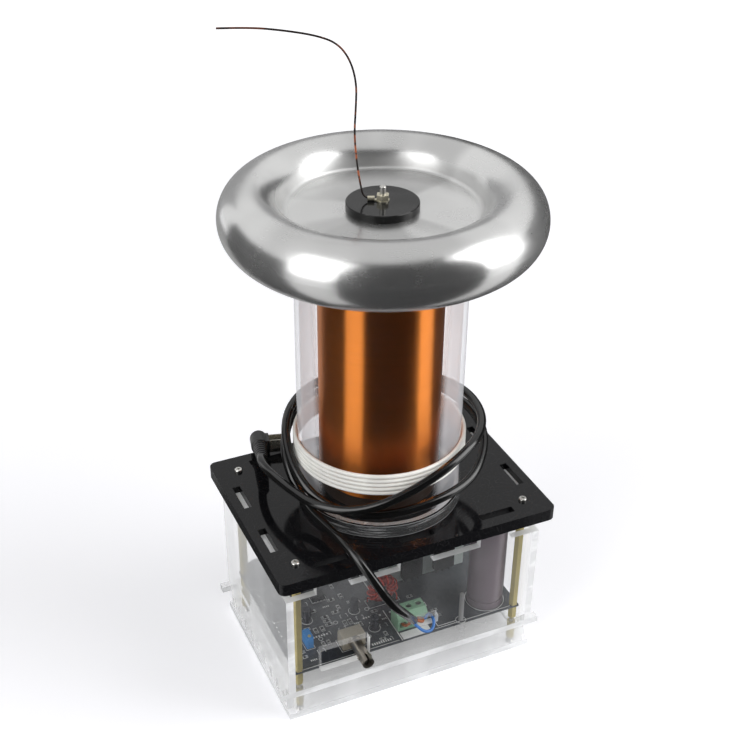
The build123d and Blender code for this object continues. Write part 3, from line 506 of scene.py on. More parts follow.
@dataclass(frozen=True)
class SpunMetal(Finish):
    """Spun sheet metal with circular tool lines round the tube's axis."""

    roughness: float = 0.205
    pitch: float = 0.0007
    depth: float = 0.000003
    brushed: float = 0.5
    metal: float = 0.91

    def surface(self, graph: Surface) -> dict:
        """Builds the spun metal with lines, painted reflection wedges, a duller fold and faint smudges.

        Args:
            graph: the material's graph.

        Returns:
            Inputs of its Principled BSDF.
        """
        lines = graph.use(graph.groups.turned, {"Pitch": self.pitch})
        marks = graph.marks(size=16.0)
        # Painted reflection: the colour is shaded darker and lighter in broad wedges round the axis.
        base = self.toned(graph, lines["Painted wedges"], 0.35, 0.65, dark=0.82, light=1.14)
        rough = graph.raised(self.roughness, lines["Line"], by=0.05)
        rough = graph.raised(rough, lines["Fold"], by=0.25)
        return {
            "Base Color": self.flecked(graph, base, lines["Line"], share=0.06, tone=0.72),
            "Roughness": graph.raised(rough, marks["Smudge"], by=0.07),
            "Normal": graph.bump(lines["Line"], self.depth, strength=0.55),
            "Metallic": self.metal,
            **graph.brushed(self.brushed),
        }


@dataclass(frozen=True)
class WoundCopper(Finish):
    """Fine varnished copper wire, wound turn beside turn."""

    roughness: float = 0.27
    pitch: float = 0.0005
    depth: float = 0.00001

    def surface(self, graph: Surface) -> dict:
        """Builds the varnished winding.

        Args:
            graph: the material's graph.

        Returns:
            Inputs of its Principled BSDF.
        """
        turns = graph.use(graph.groups.wire_turns, {"Pitch": self.pitch})
        grain = graph.grain(300.0)
        base = self.toned(graph, turns["Tint"], 0.3, 0.7, dark=0.97, light=1.02)
        return {
            "Base Color": self.flecked(graph, base, grain["Broad"], share=0.15, tone=0.6),
            "Roughness": graph.raised(self.roughness, turns["Tint"], by=0.04),
            "Normal": graph.bump(turns["Height"], self.depth, strength=0.08),
            "Metallic": 1.0,
            **graph.brushed(1.0),
        }


@dataclass(frozen=True)
class ClearSheet(Finish):
    """Clear acrylic sheet: nearly see-through faces and frosted sawn edges, with painted reflection and a
    painted glow in it.
    """

    facing: Facing = Facing.Z
    body: float = 0.035
    # Paleness of faces seen edge on, a painted reflection.
    rim: float = 0.4
    edge: float = 0.92
    seen_through: float = 0.22
    # Share of painted reflection in the broad upright streaks.
    painted_reflection: float = 0.03
    # Strength of the painted glow that the sheet gives off, though it is no lamp.
    painted_glow: float = 0.12
    level: float = 0.4
    steep: float = 0.8
    saw_depth: float = 0.00002

    def surface(self, graph: Surface) -> dict:
        """Builds the clear sheet.

        Args:
            graph: the material's graph.

        Returns:
            Inputs of its Principled BSDF.
        """
        cut = graph.cut(self.facing)
        marks = graph.marks(size=22.0)
        slope = graph.slope()
        outside = graph.outside()
        # Painted reflection: broad upright streaks, stronger where a face is seen at a slant.
        painted_reflection = graph.times(cut["Painted reflection"], graph.span(slope, 0.2, 0.75, self.painted_reflection, self.painted_reflection * 3.0))
        painted_reflection_and_smudges = graph.plus(painted_reflection, graph.times(marks["Smudge"], 0.02))
        # Faces turn paler edge on: painted reflection over the sheet's faint haze and smudges.
        haze_and_painted_reflection = graph.plus(graph.span(slope, self.level, self.steep, self.body, self.rim), painted_reflection_and_smudges)
        face = graph.times(haze_and_painted_reflection, outside)
        sawn = graph.span(cut["Glint"], 0.0, 1.0, self.edge * 0.9, self.edge)
        ground = graph.times(sawn, graph.span(outside, 0.0, 1.0, self.seen_through, 1.0))
        # Painted glints: sawn edges are lighter where the glint mask is high.
        bright = graph.mix(cut["Glint"], shaded(self.colour, 0.78), shaded(self.colour, 0.98))
        # Painted glow: emission on the faces, stronger at a slant, and fuller on the sawn edges.
        light = (self.painted_glow, self.painted_glow, self.painted_glow)
        sheen = graph.mix(graph.span(slope, self.level, 0.7), shaded(light, 0.5), shaded(light, 1.7))
        return {
            "Alpha": graph.between(cut["Edge"], face, ground),
            "Base Color": graph.mix(cut["Edge"], shaded(self.colour), bright),
            "Emission Color": graph.mix(cut["Edge"], sheen, shaded(light)),
            "Emission Strength": 1.0,
            "Roughness": graph.raised(graph.times(marks["Smudge"], 0.05), cut["Edge"], by=0.3),
            "Normal": graph.bump(cut["Stripes"], self.saw_depth, strength=0.4),
            "IOR": ACRYLIC_IOR,
        }


@dataclass(frozen=True)
class ClearTube(Finish):
    """Clear drawn tube: clear where it is seen square on, pale towards its sides as painted reflection."""

    body: float = 0.004
    # side and rim: paleness towards the tube's sides, a painted reflection.
    side: float = 0.5
    rim: float = 0.22
    end: float = 0.8
    end_colour: Colour = (0.95, 0.96, 0.96)
    level: float = 0.4
    turning: float = 0.52
    roughness: float = 0.02

    def surface(self, graph: Surface) -> dict:
        """Builds the clear tube.

        Args:
            graph: the material's graph.

        Returns:
            Inputs of its Principled BSDF.
        """
        marks = graph.marks(size=18.0)
        slope = graph.slope()
        # Painted reflection: the wall is paler towards the tube's sides, where it is seen at a slant.
        haze_and_painted_reflection = graph.plus(graph.span(slope, self.level, self.turning, self.body, self.side),
                          graph.span(slope, self.turning, 1.0, 0.0, self.rim))
        wall = graph.times(graph.plus(haze_and_painted_reflection, graph.times(marks["Smudge"], 0.006)), graph.outside())
        ends = graph.less(1.0, graph.cut()["Edge"])
        return {
            "Alpha": graph.between(ends, wall, self.end),
            "Base Color": graph.mix(ends, shaded(self.colour), shaded(self.end_colour)),
            "Roughness": graph.raised(self.roughness, marks["Smudge"], by=0.06),
            "IOR": ACRYLIC_IOR,
        }


@dataclass(frozen=True)
class ClearDisc(Finish):
    """Thick clear disc on a black plate: dark through its side, with painted highlights as thin bright rims
    and glints.
    """

    low: float = PLATE_TOP * MM
    high: float = (PLATE_TOP + DISC_HEIGHT) * MM
    rim: float = 0.0007
    upper_light: float = 0.7
    lower_light: float = 0.5
    side_light: float = 0.4
    body: float = 0.03
    roughness: float = 0.05

    def surface(self, graph: Surface) -> dict:
        """Builds the clear disc.

        Args:
            graph: the material's graph.

        Returns:
            Inputs of its Principled BSDF.
        """
        cut = graph.cut()
        height = graph.parts(graph.place())[2]
        upper = graph.span(height, self.high - self.rim, self.high)
        lower = graph.span(height, self.low, self.low + self.rim, 1.0, 0.0)
        # Painted glints: thin level streaks of white on the disc's side.
        lines = graph.streaks((32.0, 32.0, 900.0), detail=3.0, roughness=0.6)
        glint = graph.times(graph.span(lines, 0.5, 0.72), cut["Glint"])
        side = graph.plus(graph.times(glint, self.side_light), 0.05)
        # Painted highlights: thin bright lines along the top and bottom rims.
        rim_highlights = graph.larger(graph.times(upper, self.upper_light), graph.times(lower, self.lower_light))
        lit = graph.times(graph.larger(side, rim_highlights), cut["Edge"])
        return {
            "Alpha": graph.times(graph.plus(lit, self.body), graph.outside(), True),
            "Base Color": graph.mix(glint, shaded(self.colour), WHITE),
            "Roughness": graph.raised(self.roughness, cut["Stripes"], by=0.1),
        }


@dataclass(frozen=True)
class PolishedSheet(Finish):
    """Polished opaque sheet with smudges, fine scratches and slightly matt sawn edges."""

    roughness: float = 0.06
    specular: float = 0.2
    scratch: Colour = (0.16, 0.16, 0.16)
    saw_depth: float = 0.000008

    def surface(self, graph: Surface) -> dict:
        """Builds the polished sheet.

        Args:
            graph: the material's graph.

        Returns:
            Inputs of its Principled BSDF.
        """
        cut = graph.cut()
        marks = graph.marks(size=26.0)
        rough = graph.raised(self.roughness, marks["Smudge"], by=0.09)
        scratches = graph.times(marks["Scratch"], 0.25)
        return {
            "Base Color": graph.mix(scratches, shaded(self.colour), shaded(self.scratch)),
            "Roughness": graph.raised(rough, cut["Edge"], by=0.16),
            "Normal": graph.bump(cut["Stripes"], self.saw_depth, strength=0.3),
            "Specular IOR Level": self.specular,
        }


@dataclass(frozen=True)
class FleckedWire(Finish):
    """Dark lacquered wire with bare copper showing in flecks."""

    bare: Colour = (0.5, 0.14, 0.06)
    roughness: float = 0.3
    metal: float = 0.35
    low: float = 0.36
    high: float = 0.43

    def surface(self, graph: Surface) -> dict:
        """Builds the flecked wire, with fewer flecks from its low end to its high end.

        Args:
            graph: the material's graph.

        Returns:
            Inputs of its Principled BSDF.
        """
        fleck = graph.span(graph.streaks((114.0, 114.0, 190.0), detail=2.0, roughness=0.5), 0.5, 0.6)
        worn = graph.span(graph.parts(graph.place())[2], self.low, self.high, 1.0, 0.25)
        return {
            "Base Color": graph.mix(graph.times(fleck, worn), shaded(self.colour), shaded(self.bare)),
            "Roughness": graph.raised(self.roughness, fleck, by=0.1),
            "Metallic": self.metal,
        }


@dataclass(frozen=True)
class BoardMask(Finish):
    """Circuit board with dark solder mask and faint tracks below it."""

    roughness: float = 0.22
    depth: float = 0.00003

    def surface(self, graph: Surface) -> dict:
        """Builds the board.

        Args:
            graph: the material's graph.

        Returns:
            Inputs of its Principled BSDF.
        """
        track = graph.span(graph.cells(graph.place(), 150.0), 0.03, 0.05, 1.0, 0.0)
        return {
            "Base Color": self.flecked(graph, shaded(self.colour), track, share=0.6, tone=1.9),
            "Roughness": graph.raised(self.roughness, graph.grain(1200.0)["Fine"], by=0.2),
            "Normal": graph.bump(track, self.depth, strength=0.5),
        }


@dataclass(frozen=True)
class StudioFloor(Finish):
    """White floor that keeps the object's soft shadow."""

    near: float = 0.15
    far: float = 1.8
    glow: float = 0.36
    far_glow: float = 0.82
    roughness: float = 0.9
    specular: float = 0.1

    def surface(self, graph: Surface) -> dict:
        """Builds the floor, lifted to white for rays from the camera and off metal and glass.

        Args:
            graph: the material's graph.

        Returns:
            Inputs of its Principled BSDF.
        """
        reach = graph.vector("LENGTH", graph.place())["Value"]
        lift = graph.span(reach, self.near, self.far, self.glow, self.far_glow)
        paper = graph.noise(graph.place(), 4.0, detail=2.0)
        return {
            "Base Color": graph.mix(paper, shaded(self.colour), shaded(self.colour, 0.99)),
            "Roughness": self.roughness,
            "Specular IOR Level": self.specular,
            "Emission Color": WHITE,
            "Emission Strength": graph.times(graph.seen(), lift),
        }


class Palette:
    """Materials of the whole object, each made once from its finish."""

    def __init__(self) -> None:
        """Builds the shared groups and starts with no materials."""
        self.groups = SharedGroups()
        self.made: dict[Finish, bpy.types.Material] = {}

    def get(self, finish: Finish) -> bpy.types.Material:
        """Gives the material of a finish.

        Args:
            finish: the finish.

        Returns:
            Its material, made on first use.
        """
        if finish not in self.made:
            self.made[finish] = finish.material(self.groups)
        return self.made[finish]


CLEAR = (0.93, 0.94, 0.94)
CLEAR_X = ClearSheet("clear_sheet_x", CLEAR, facing=Facing.X)
CLEAR_Y = ClearSheet("clear_sheet_y", CLEAR, facing=Facing.Y)
# Floor sheets and lower walls: paler faces, more painted reflection and their own painted glow.
CLEAR_Z = ClearSheet("clear_sheet_z", CLEAR, facing=Facing.Z, body=0.12, painted_reflection=0.12, painted_glow=0.08)
LOWER_Y = ClearSheet("clear_lower_y", CLEAR, facing=Facing.Y, body=0.28, painted_reflection=0.2, painted_glow=0.16)
TUBE = ClearTube("clear_tube", (0.84, 0.84, 0.87))
DISC = ClearDisc("clear_disc", (0.72, 0.74, 0.75))
BLACK_SHEET = PolishedSheet("black_sheet", (0.006, 0.006, 0.007))
BLACK_DISC = PolishedSheet("black_disc", (0.012, 0.012, 0.012), roughness=0.12)
SPUN = SpunMetal("spun_aluminium", (0.585, 0.585, 0.58))
STEEL = BareMetal("plated_steel", (0.66, 0.65, 0.62))
TERMINAL = BareMetal("terminal_nickel", (0.7, 0.66, 0.52), metal=0.8)
BRASS = BareMetal("brass", (0.66, 0.56, 0.24), roughness=0.35, metal=0.55)
COPPER = WoundCopper("wound_copper", (0.72, 0.225, 0.042))
PRIMARY = Moulded("primary_insulation", (0.88, 0.87, 0.82), roughness=0.35, depth=0.00002)
FORMER = Moulded("former_plastic", (0.03, 0.018, 0.012), roughness=0.35)
CAP = Moulded("cap_plastic", (0.04, 0.04, 0.04))
CORD = Moulded("cord_sheath", (0.004, 0.004, 0.004), roughness=0.13, spread=0.08, grain=500.0)
PLUG = Moulded("plug_rubber", (0.012, 0.012, 0.013), roughness=0.32)
BOARD = BoardMask("board_mask", (0.035, 0.04, 0.048))
INK = Moulded("marking_ink", (0.78, 0.79, 0.78), roughness=0.6)
SOLDER = BareMetal("solder", (0.7, 0.7, 0.7), roughness=0.35)
CHIP = Moulded("chip_epoxy", (0.02, 0.02, 0.022), roughness=0.5)
SINK = BareMetal("sink_alloy", (0.62, 0.69, 0.67), roughness=0.5, metal=0.3)
SLEEVE = Moulded("capacitor_sleeve", (0.14, 0.11, 0.128), roughness=0.3, coat=0.2)
SMALL_SLEEVE = Moulded("small_sleeve", (0.02, 0.022, 0.03), roughness=0.25, coat=0.3)
GREEN = Moulded("terminal_green", (0.21, 0.38, 0.25), roughness=0.35)
BLUE = Moulded("trimmer_blue", (0.03, 0.2, 0.5), roughness=0.35)
RECEIVER = Moulded("receiver_housing", (0.34, 0.31, 0.25), roughness=0.45)
NICKEL = BareMetal("receiver_nickel", (0.5, 0.46, 0.4), roughness=0.35)
FERRITE = Moulded("ferrite_coat", (0.26, 0.03, 0.025), roughness=0.45)
RED_WIRE = Moulded("red_insulation", (0.46, 0.035, 0.02), roughness=0.35, coat=0.1)
BROWN_CORE = Moulded("brown_core", (0.3, 0.09, 0.03), roughness=0.35)
BLUE_CORE = Moulded("blue_core", (0.04, 0.15, 0.42), roughness=0.35)
BLADE = BareMetal("blade_nickel", (0.72, 0.68, 0.58), roughness=0.25)
WIRE = FleckedWire("breakout_wire", (0.02, 0.014, 0.012))
GREY = Moulded("grey_post", (0.22, 0.22, 0.22), roughness=0.5)
FLOOR = StudioFloor("studio_floor", (0.84, 0.84, 0.88))


# ---------------------------------------------------------------- mesh making


def polar(radius: float, angle: float, height: float) -> Vector:
    """Gives the point at a radius, an angle in radians and a height round the Z axis."""
    return Vector((radius * math.cos(angle), radius * math.sin(angle), height))


class Shop:
    """Collects plain forms into one mesh, in millimetres."""

    def __init__(self) -> None:
        """Starts an empty mesh."""
        self.mesh = bmesh.new()

    def block(self, centre: Sequence[float], size: Point, turn: float = 0.0, round_by: float = 0.0) -> None:
        """Adds a block.

        Args:
            centre: its middle.
            size: its length, depth and height.
            turn: its angle about Z in degrees.
            round_by: bevel width of its edges.
        """
        place = Matrix.Translation(Vector(centre) * MM) @ Matrix.Rotation(math.radians(turn), 4, "Z")
        scale = Matrix.Diagonal(Vector((*[side * MM for side in size], 1.0)))
        made = bmesh.ops.create_cube(self.mesh, size=1.0, matrix=place @ scale)
        if round_by:
            edges = list({edge for corner in made["verts"] for edge in corner.link_edges})
            width = round_by * MM
            bmesh.ops.bevel(self.mesh, geom=edges, offset=width, segments=2, profile=0.6, affect="EDGES")

    def band(self, centre: Point, radius: float, width: float, height: float, start: float = 0.0,
             stop: float = 360.0, steps: int = 32) -> None:
        """Adds a flat ring or arc of ring about Z.

        Args:
            centre: the middle of its underside.
            radius: its outer radius.
            width: its width.
            height: its height.
            start: its first angle in degrees.
            stop: its last angle in degrees.
            steps: its faces round.
        """
        closed = stop - start >= 360.0
        section = ((radius - width, 0.0), (radius, 0.0), (radius, height), (radius - width, height))
        rows = []
        for k in range(steps if closed else steps + 1):
            angle = math.radians(start + (stop - start) * k / steps)
            rows.append([self.mesh.verts.new((Vector(centre) + polar(r, angle, h)) * MM) for r, h in section])
        pairs = list(zip(rows, rows[1:])) + ([(rows[-1], rows[0])] if closed else [])
        for one, two in pairs:
            for k in range(4):
                self.mesh.faces.new((one[k], two[k], two[(k + 1) % 4], one[(k + 1) % 4]))
        if not closed:
            self.mesh.faces.new(rows[0])
            self.mesh.faces.new(rows[-1][::-1])

    def lathe(self, profile: Sequence[tuple[float, float]], place: Matrix, steps: int) -> None:
        """Turns a profile about the local Z axis and caps both ends.

        Args:
            profile: radius and height of each point.
            place: matrix from the local frame, in millimetres, to the row frame.
            steps: faces round.
        """
        rings = []
        for radius, height in profile:
            points = [polar(radius, FULL_TURN * k / steps, height) for k in range(steps)]
            rings.append([self.mesh.verts.new(place @ point * MM) for point in points])
        for one, two in zip(rings, rings[1:]):
            for k in range(steps):
                self.mesh.faces.new((one[k], one[(k + 1) % steps], two[(k + 1) % steps], two[k]))
        self.mesh.faces.new(rings[0][::-1])
        self.mesh.faces.new(rings[-1])

    def dome(self, centre: Point, radius: float, height: float) -> None:
        """Adds a small rounded solder cone on a level surface."""
        shape = ((1.0, 0.0), (0.85, 0.4), (0.4, 0.85), (0.12, 1.0))
        self.lathe([(radius * r, height * h) for r, h in shape], Matrix.Translation(Vector(centre)), 10)

    def object(self, name: str, smooth: bool = False) -> bpy.types.Object:
        """Turns what was collected into an object.

        Args:
            name: the piece's name.
            smooth: whether its faces are shaded smoothly.

        Returns:
            The object, linked to the scene.
        """
        bmesh.ops.recalc_face_normals(self.mesh, faces=self.mesh.faces)
        data = bpy.data.meshes.new(name)
        self.mesh.to_mesh(data)
        self.mesh.free()
        for face in data.polygons:
            face.use_smooth = smooth
        return linked(name, data)


def linked(name: str, data: bpy.types.ID) -> bpy.types.Object:
    """Makes an object.

    Args:
        name: its name.
        data: its mesh, curve, lamp or camera.

    Returns:
        The object, linked to the scene.
    """
    made = bpy.data.objects.new(name, data)
    bpy.context.scene.collection.objects.link(made)
    return made


def smooth_line(name: str, points: Sequence[Point], diameter: float, sides: int) -> bpy.types.Object:
    """Makes a round wire or cord on one smooth open spline.

    Args:
        name: the piece's name.
        points: control points.
        diameter: its diameter.
        sides: the bevel's resolution.

    Returns:
        The curve object.
    """
    data = bpy.data.curves.new(name, "CURVE")
    data.dimensions = "3D"
    spline = data.splines.new("NURBS")
    spline.points.add(len(points) - 1)
    for knot, point in zip(spline.points, points):
        knot.co = (*(Vector(point) * MM), 1.0)
    spline.order_u = 3
    spline.use_endpoint_u = True
    spline.resolution_u = 8
    data.bevel_depth = diameter * MM / 2
    data.bevel_resolution = sides
    data.use_fill_caps = True
    return linked(name, data)


def paint(piece: bpy.types.Object, material: bpy.types.Material) -> bpy.types.Object:
    """Gives a piece one material.

    Args:
        piece: the piece.
        material: the material.

    Returns:
        The piece.
    """
    piece.data.materials.clear()
    piece.data.materials.append(material)
    return piece


@dataclass
class Assembly:
    """A group of pieces with its finishes."""

    palette: Palette
    nodes: dict[str, bpy.types.Object]

    def dress(self, finish: Finish, *names: str) -> None:
        """Gives CAD nodes a finish.

        Args:
            finish: the finish.
            *names: the nodes.
        """
        for name in names:
            paint(self.nodes[name], self.palette.get(finish))
            LOG.info("node %s dressed in %s", name, finish.name)

    def add(self, piece: bpy.types.Object, finish: Finish, slot: str, body: Body = Body.CASE,
            replaced: Sequence[str] = ()) -> bpy.types.Object:
        """Finishes a new piece and sets it on its body.

        Args:
            piece: the piece.
            finish: its finish.
            slot: the record's material slot; not used.
            body: the body that it rides on.
            replaced: CAD nodes that it stands for.

        Returns:
            The piece.
        """
        paint(piece, self.palette.get(finish))
        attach(piece, body.value)
        if replaced:
            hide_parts(*replaced)
        LOG.info("piece %s on %s", piece.name, body.value)
        return piece

    def build(self) -> None:
        """Builds and dresses the group's pieces."""
        raise NotImplementedError


# ---------------------------------------------------------------- studio


@dataclass(frozen=True)
class Card:
    """A grey sector on the floor, or an upright screen, that only shiny pieces see: painted shade when dark,
    painted lamplight when white.

    Its angles are in degrees, round the object from the front.
    """

    name: str
    first: float
    last: float
    tone: float
    radius: float = 1850.0
    width: float = 1830.0
    low: float = -0.2
    height: float = 0.05
    steps: int = 24


def screen(name: str, first: float, last: float, tone: float, radius: float, height: float) -> Card:
    """Gives a thin upright card that stands on the floor."""
    return Card(name, first, last, tone, radius, 10.0, 0.0, height)


@dataclass
class Studio:
    """Camera, lamps, floor and surroundings, with angles in degrees."""

    palette: Palette
    place: Point = (-303.13, -642.35, 671.3)
    ahead: Point = (0.32061, 0.76617, -0.55696)
    roll: float = -0.504
    lens: float = 61.75
    sensor: float = 36.0
    shift: tuple[float, float] = (0.0577, 0.0439)
    clip: tuple[float, float] = (10.0, 50000.0)
    lamp_angles: tuple[float, float] = (-70.0, 59.5)
    lamp_height: float = 30.0
    lamp_distance: float = 1500.0
    lamp_aim: float = 220.0
    lamp_size: tuple[float, float] = (840.0, 1650.0)
    lamp_powers: tuple[float, float] = (12.5, 18.5)
    sky: float = 0.32
    floor_size: Point = (30000.0, 30000.0, 10.0)
    floor_top: float = -0.3
    # Cards seen only in reflections: dark ones are painted shade, the two white pools painted lamplight.
    cards: Sequence[Card] = (
        screen("front_screen", -56.0, 46.0, 0.055, 1900.0, 4200.0),
        screen("left_screen", -146.0, -87.0, 0.12, 1900.0, 1000.0),
        screen("right_screen", 77.0, 150.0, 0.1, 1900.0, 1000.0),
        screen("back_screen", 150.0, 195.0, 0.55, 1950.0, 1150.0),
        Card("front_ground", -54.0, 44.0, 0.035),
        Card("right_painted_light_pool", 44.0, 75.0, 1.0),
        Card("right_ground", 75.0, 150.0, 0.09),
        Card("back_ground", 150.0, 214.0, 0.6),
        Card("left_ground", 214.0, 272.0, 0.09),
        Card("left_painted_light_pool", 272.0, 306.0, 1.0),
    )

    def camera(self) -> None:
        """Sets the camera where the photograph was taken from."""
        ahead = Vector(self.ahead).normalized()
        side = ahead.cross(Vector((0.0, 0.0, 1.0))).normalized()
        above = side.cross(ahead)
        tilt = math.radians(self.roll)
        right = side * math.cos(tilt) + above * math.sin(tilt)
        up = above * math.cos(tilt) - side * math.sin(tilt)
        data = bpy.data.cameras.new("camera")
        data.lens = self.lens
        data.sensor_width = self.sensor
        data.shift_x, data.shift_y = self.shift
        data.dof.use_dof = False
        data.clip_start, data.clip_end = [distance * MM for distance in self.clip]
        made = linked("camera", data)
        turn = Matrix((right, up, -ahead)).transposed().to_4x4()
        made.matrix_world = Matrix.Translation(Vector(self.place) * MM) @ turn
        bpy.context.scene.camera = made

    def lamp(self, name: str, angle: float, power: float) -> None:
        """Adds a soft lamp that faces the object.

        Args:
            name: its name.
            angle: its angle round the object, from the front.
            power: its power in watts.
        """
        around, rise = math.radians(angle), math.radians(self.lamp_height)
        back = Vector((math.sin(around) * math.cos(rise), -math.cos(around) * math.cos(rise), math.sin(rise)))
        data = bpy.data.lights.new(name, "AREA")
        data.shape = "RECTANGLE"
        data.size, data.size_y = [side * MM for side in self.lamp_size]
        data.energy = power
        made = linked(name, data)
        made.location = Vector((0.0, 0.0, self.lamp_aim * MM)) + back * self.lamp_distance * MM
        made.rotation_mode = "QUATERNION"
        made.rotation_quaternion = (-back).to_track_quat("-Z", "Y")

    def surroundings(self) -> None:
        """Sets a white world for what the camera and shiny pieces see, and a plain light level."""
        world = bpy.data.worlds.new("studio")
        world.use_nodes = True
        bpy.context.scene.world = world
        graph = Graph(world.node_tree)
        strength = graph.plus(graph.times(graph.seen(), 1.0 - self.sky), self.sky)
        graph.feed(world.node_tree.nodes["Background"], {"Color": WHITE, "Strength": strength})
        bpy.context.scene.view_settings.view_transform = "Standard"

    def floor(self) -> None:
        """Lays the white floor."""
        shop = Shop()
        shop.block((0.0, 0.0, self.floor_top - self.floor_size[2] / 2), self.floor_size)
        paint(shop.object("floor"), self.palette.get(FLOOR))

    def card(self, card: Card) -> None:
        """Sets up a card.

        Args:
            card: the card.
        """
        shop = Shop()
        start, stop = card.first - 90.0, card.last - 90.0
        shop.band((0.0, 0.0, card.low), card.radius, card.width, card.height, start, stop, card.steps)
        finish = Moulded(card.name + "_card", (card.tone, card.tone, card.tone), roughness=0.9, specular=0.0)
        made = paint(shop.object(card.name), self.palette.get(finish))
        # Only reflections see the card: it paints shade or light into what shiny pieces mirror.
        for ray in ("camera", "diffuse", "transmission", "shadow", "volume_scatter"):
            setattr(made, "visible_" + ray, False)

    def build(self) -> None:
        """Builds the studio, with a tall soft box on each side of the object."""
        self.camera()
        for name, angle, power in zip(("left_lamp", "right_lamp"), self.lamp_angles, self.lamp_powers):
            self.lamp(name, angle, power)
        self.surroundings()
        self.floor()
        for card in self.cards:
            self.card(card)
        LOG.info("studio ready")


# ---------------------------------------------------------------- cord, plug and cores


@dataclass
class MainsCord(Assembly):
    """The two-core cord wound round the tube, with its plug and its bared cores.

    The heights of its route are above the top plate, those of the cores' routes above the table.
    """

    diameter: float = 6.0
    length: float = 1083.7
    core: float = 2.2
    core_aside: float = 1.3
    core_ahead: float = 4.0
    relief: float = 24.0
    ribs: int = 7
    rib: float = 5.2
    rib_taper: float = 1.5
    groove: float = 0.7
    route: Sequence[Point] = (
        (-63, 64, 8.2), (-66.5, 51.5, 11.5), (-73.5, 34, 19), (-74, 13, 23.5), (-69, -10, 25),
        (-61.5, -34, 26), (-41.5, -53, 27.5), (-15.8, -63.6, 37.5), (24.7, -61.2, 52), (61.1, -38.2, 57),
        (70.8, 5, 57.5),
        (50.6, 42.4, 56.5), (13.6, 64.1, 56), (-27.7, 59.4, 55.5), (-57.2, 33, 51.5), (-65.1, -6.8, 34),
        (-51.8, -34.9, 20), (-23.5, -58.2, 21.5), (17.5, -61, 25.5), (52, -46.8, 27), (73.6, -17, 40),
        (67.5, 24.5, 47.5), (38, 60.6, 48), (-6.8, 65.8, 47.5), (-45.8, 47.5, 45), (-65, 13.8, 35),
        (-60.4, -16.2, 12.5), (-54, -41, 10), (-53, -60, 13), (-48.3, -77.3, 8.2), (-42, -89.5, -3.7),
        (-32.5, -93.5, -21), (-19.5, -84, -40.5), (-9.5, -73.5, -57), (-3, -66.3, -68),
    )
    brown_route: Sequence[Point] = (
        (4.5, -64.8, 56.8), (7.5, -60.5, 54.4), (6, -55, 52.3), (0.8, -52.8, 46.5), (-1.62, -50.8, 42.3),
        (-1.62, -44.5, 41.6),
    )
    blue_route: Sequence[Point] = (
        (1.6, -66.5, 53.4), (6, -68, 49.6), (11.4, -67.2, 48.8), (14.8, -63.5, 52.4), (15, -57.2, 53.8),
        (14.6, -52.6, 50), (13.62, -50.8, 43), (13.62, -44.5, 41.6),
    )

    def points(self) -> list[Vector]:
        """Gives the route in the row frame, from the plug to the sheath's end."""
        return [Vector((x, y, z + PLATE_TOP)) for x, y, z in self.route]

    def core_points(self, hand: int, route: Sequence[Point]) -> list[Vector]:
        """Gives the route of a core from the sheath's end to the block.

        Args:
            hand: 1 or -1, the side of the sheath's middle that it comes out on.
            route: its chosen points.

        Returns:
            All its points.
        """
        before, end = self.points()[-2:]
        way = (end - before).normalized()
        start = end + way.cross(Vector((0.0, 1.0, 0.0))).normalized() * self.core_aside * hand
        return [start, start + way * self.core_ahead] + [Vector(point) for point in route]

    def strain_relief(self) -> bpy.types.Object:
        """Makes the ribbed, tapered strain relief where the cord leaves the plug.

        Returns:
            The object.
        """
        first, second = self.points()[:2]
        turn = (second - first).normalized().to_track_quat("Z", "Y").to_matrix().to_4x4()
        collar = self.diameter / 2 + 0.05
        profile = [(collar, -0.4)]
        for k in range(self.ribs):
            low = k * self.relief / self.ribs
            out = self.rib - self.rib_taper * k / self.ribs
            profile += [(out, low), (out, low + 2.1)]
            profile += [(out - self.groove, low + 2.4), (out - self.groove, low + 3.3)]
        profile.append((collar, self.relief))
        shop = Shop()
        shop.lathe(profile, Matrix.Translation(first) @ turn, 36)
        return shop.object("cord_relief")

    def build(self) -> None:
        """Builds the relief and the cores, then the cord that ties them together."""
        relief = self.add(self.strain_relief(), PLUG, "cord_rubber")
        self.dress(PLUG, "plug_body")
        self.dress(BLADE, "plug_blades")
        for slot, finish, hand, route in (("core_brown", BROWN_CORE, 1, self.brown_route),
                                          ("core_blue", BLUE_CORE, -1, self.blue_route)):
            line = smooth_line(slot + "_wire", self.core_points(hand, route), self.core, 5)
            self.add(line, finish, slot, replaced=[slot])
        line = smooth_line("wound_cord", self.points()[::-1], self.diameter, 8)
        cord = self.add(line, CORD, "cord_rubber", replaced=["mains_cord"])
        LOG.info("cord built")


# ---------------------------------------------------------------- case


@dataclass
class Case(Assembly):
    """The sheet case, its plate, screws and standoffs."""

    def build(self) -> None:
        """Dresses the case."""
        self.dress(CLEAR_X, "side_wall_left", "side_wall_right")
        self.dress(CLEAR_Y, "front_wall", "back_wall")
        self.dress(LOWER_Y, "lower_wall_front", "lower_wall_back")
        self.dress(CLEAR_Z, "base_plate", "mid_floor")
        self.dress(BLACK_SHEET, "top_plate")
        self.dress(STEEL, "top_screws", "base_screws")
        self.dress(BRASS, "long_standoffs", "short_standoffs", "lower_standoffs")
        LOG.info("case dressed")


# ---------------------------------------------------------------- circuit board


@dataclass(frozen=True)
class SmallPart:
    """A kind of small part: its printed outline and the size, reach and rounding of its soldered ends."""

    outline: tuple[float, float]
    end: Point
    reach: float
    rounding: float


CHIP_PART = SmallPart(outline=(5.2, 2.6), end=(0.9, 1.68, 0.94), reach=1.5, rounding=0.1)
TINY_PART = SmallPart(outline=(4.2, 2.2), end=(0.7, 1.3, 0.62), reach=1.05, rounding=0.08)


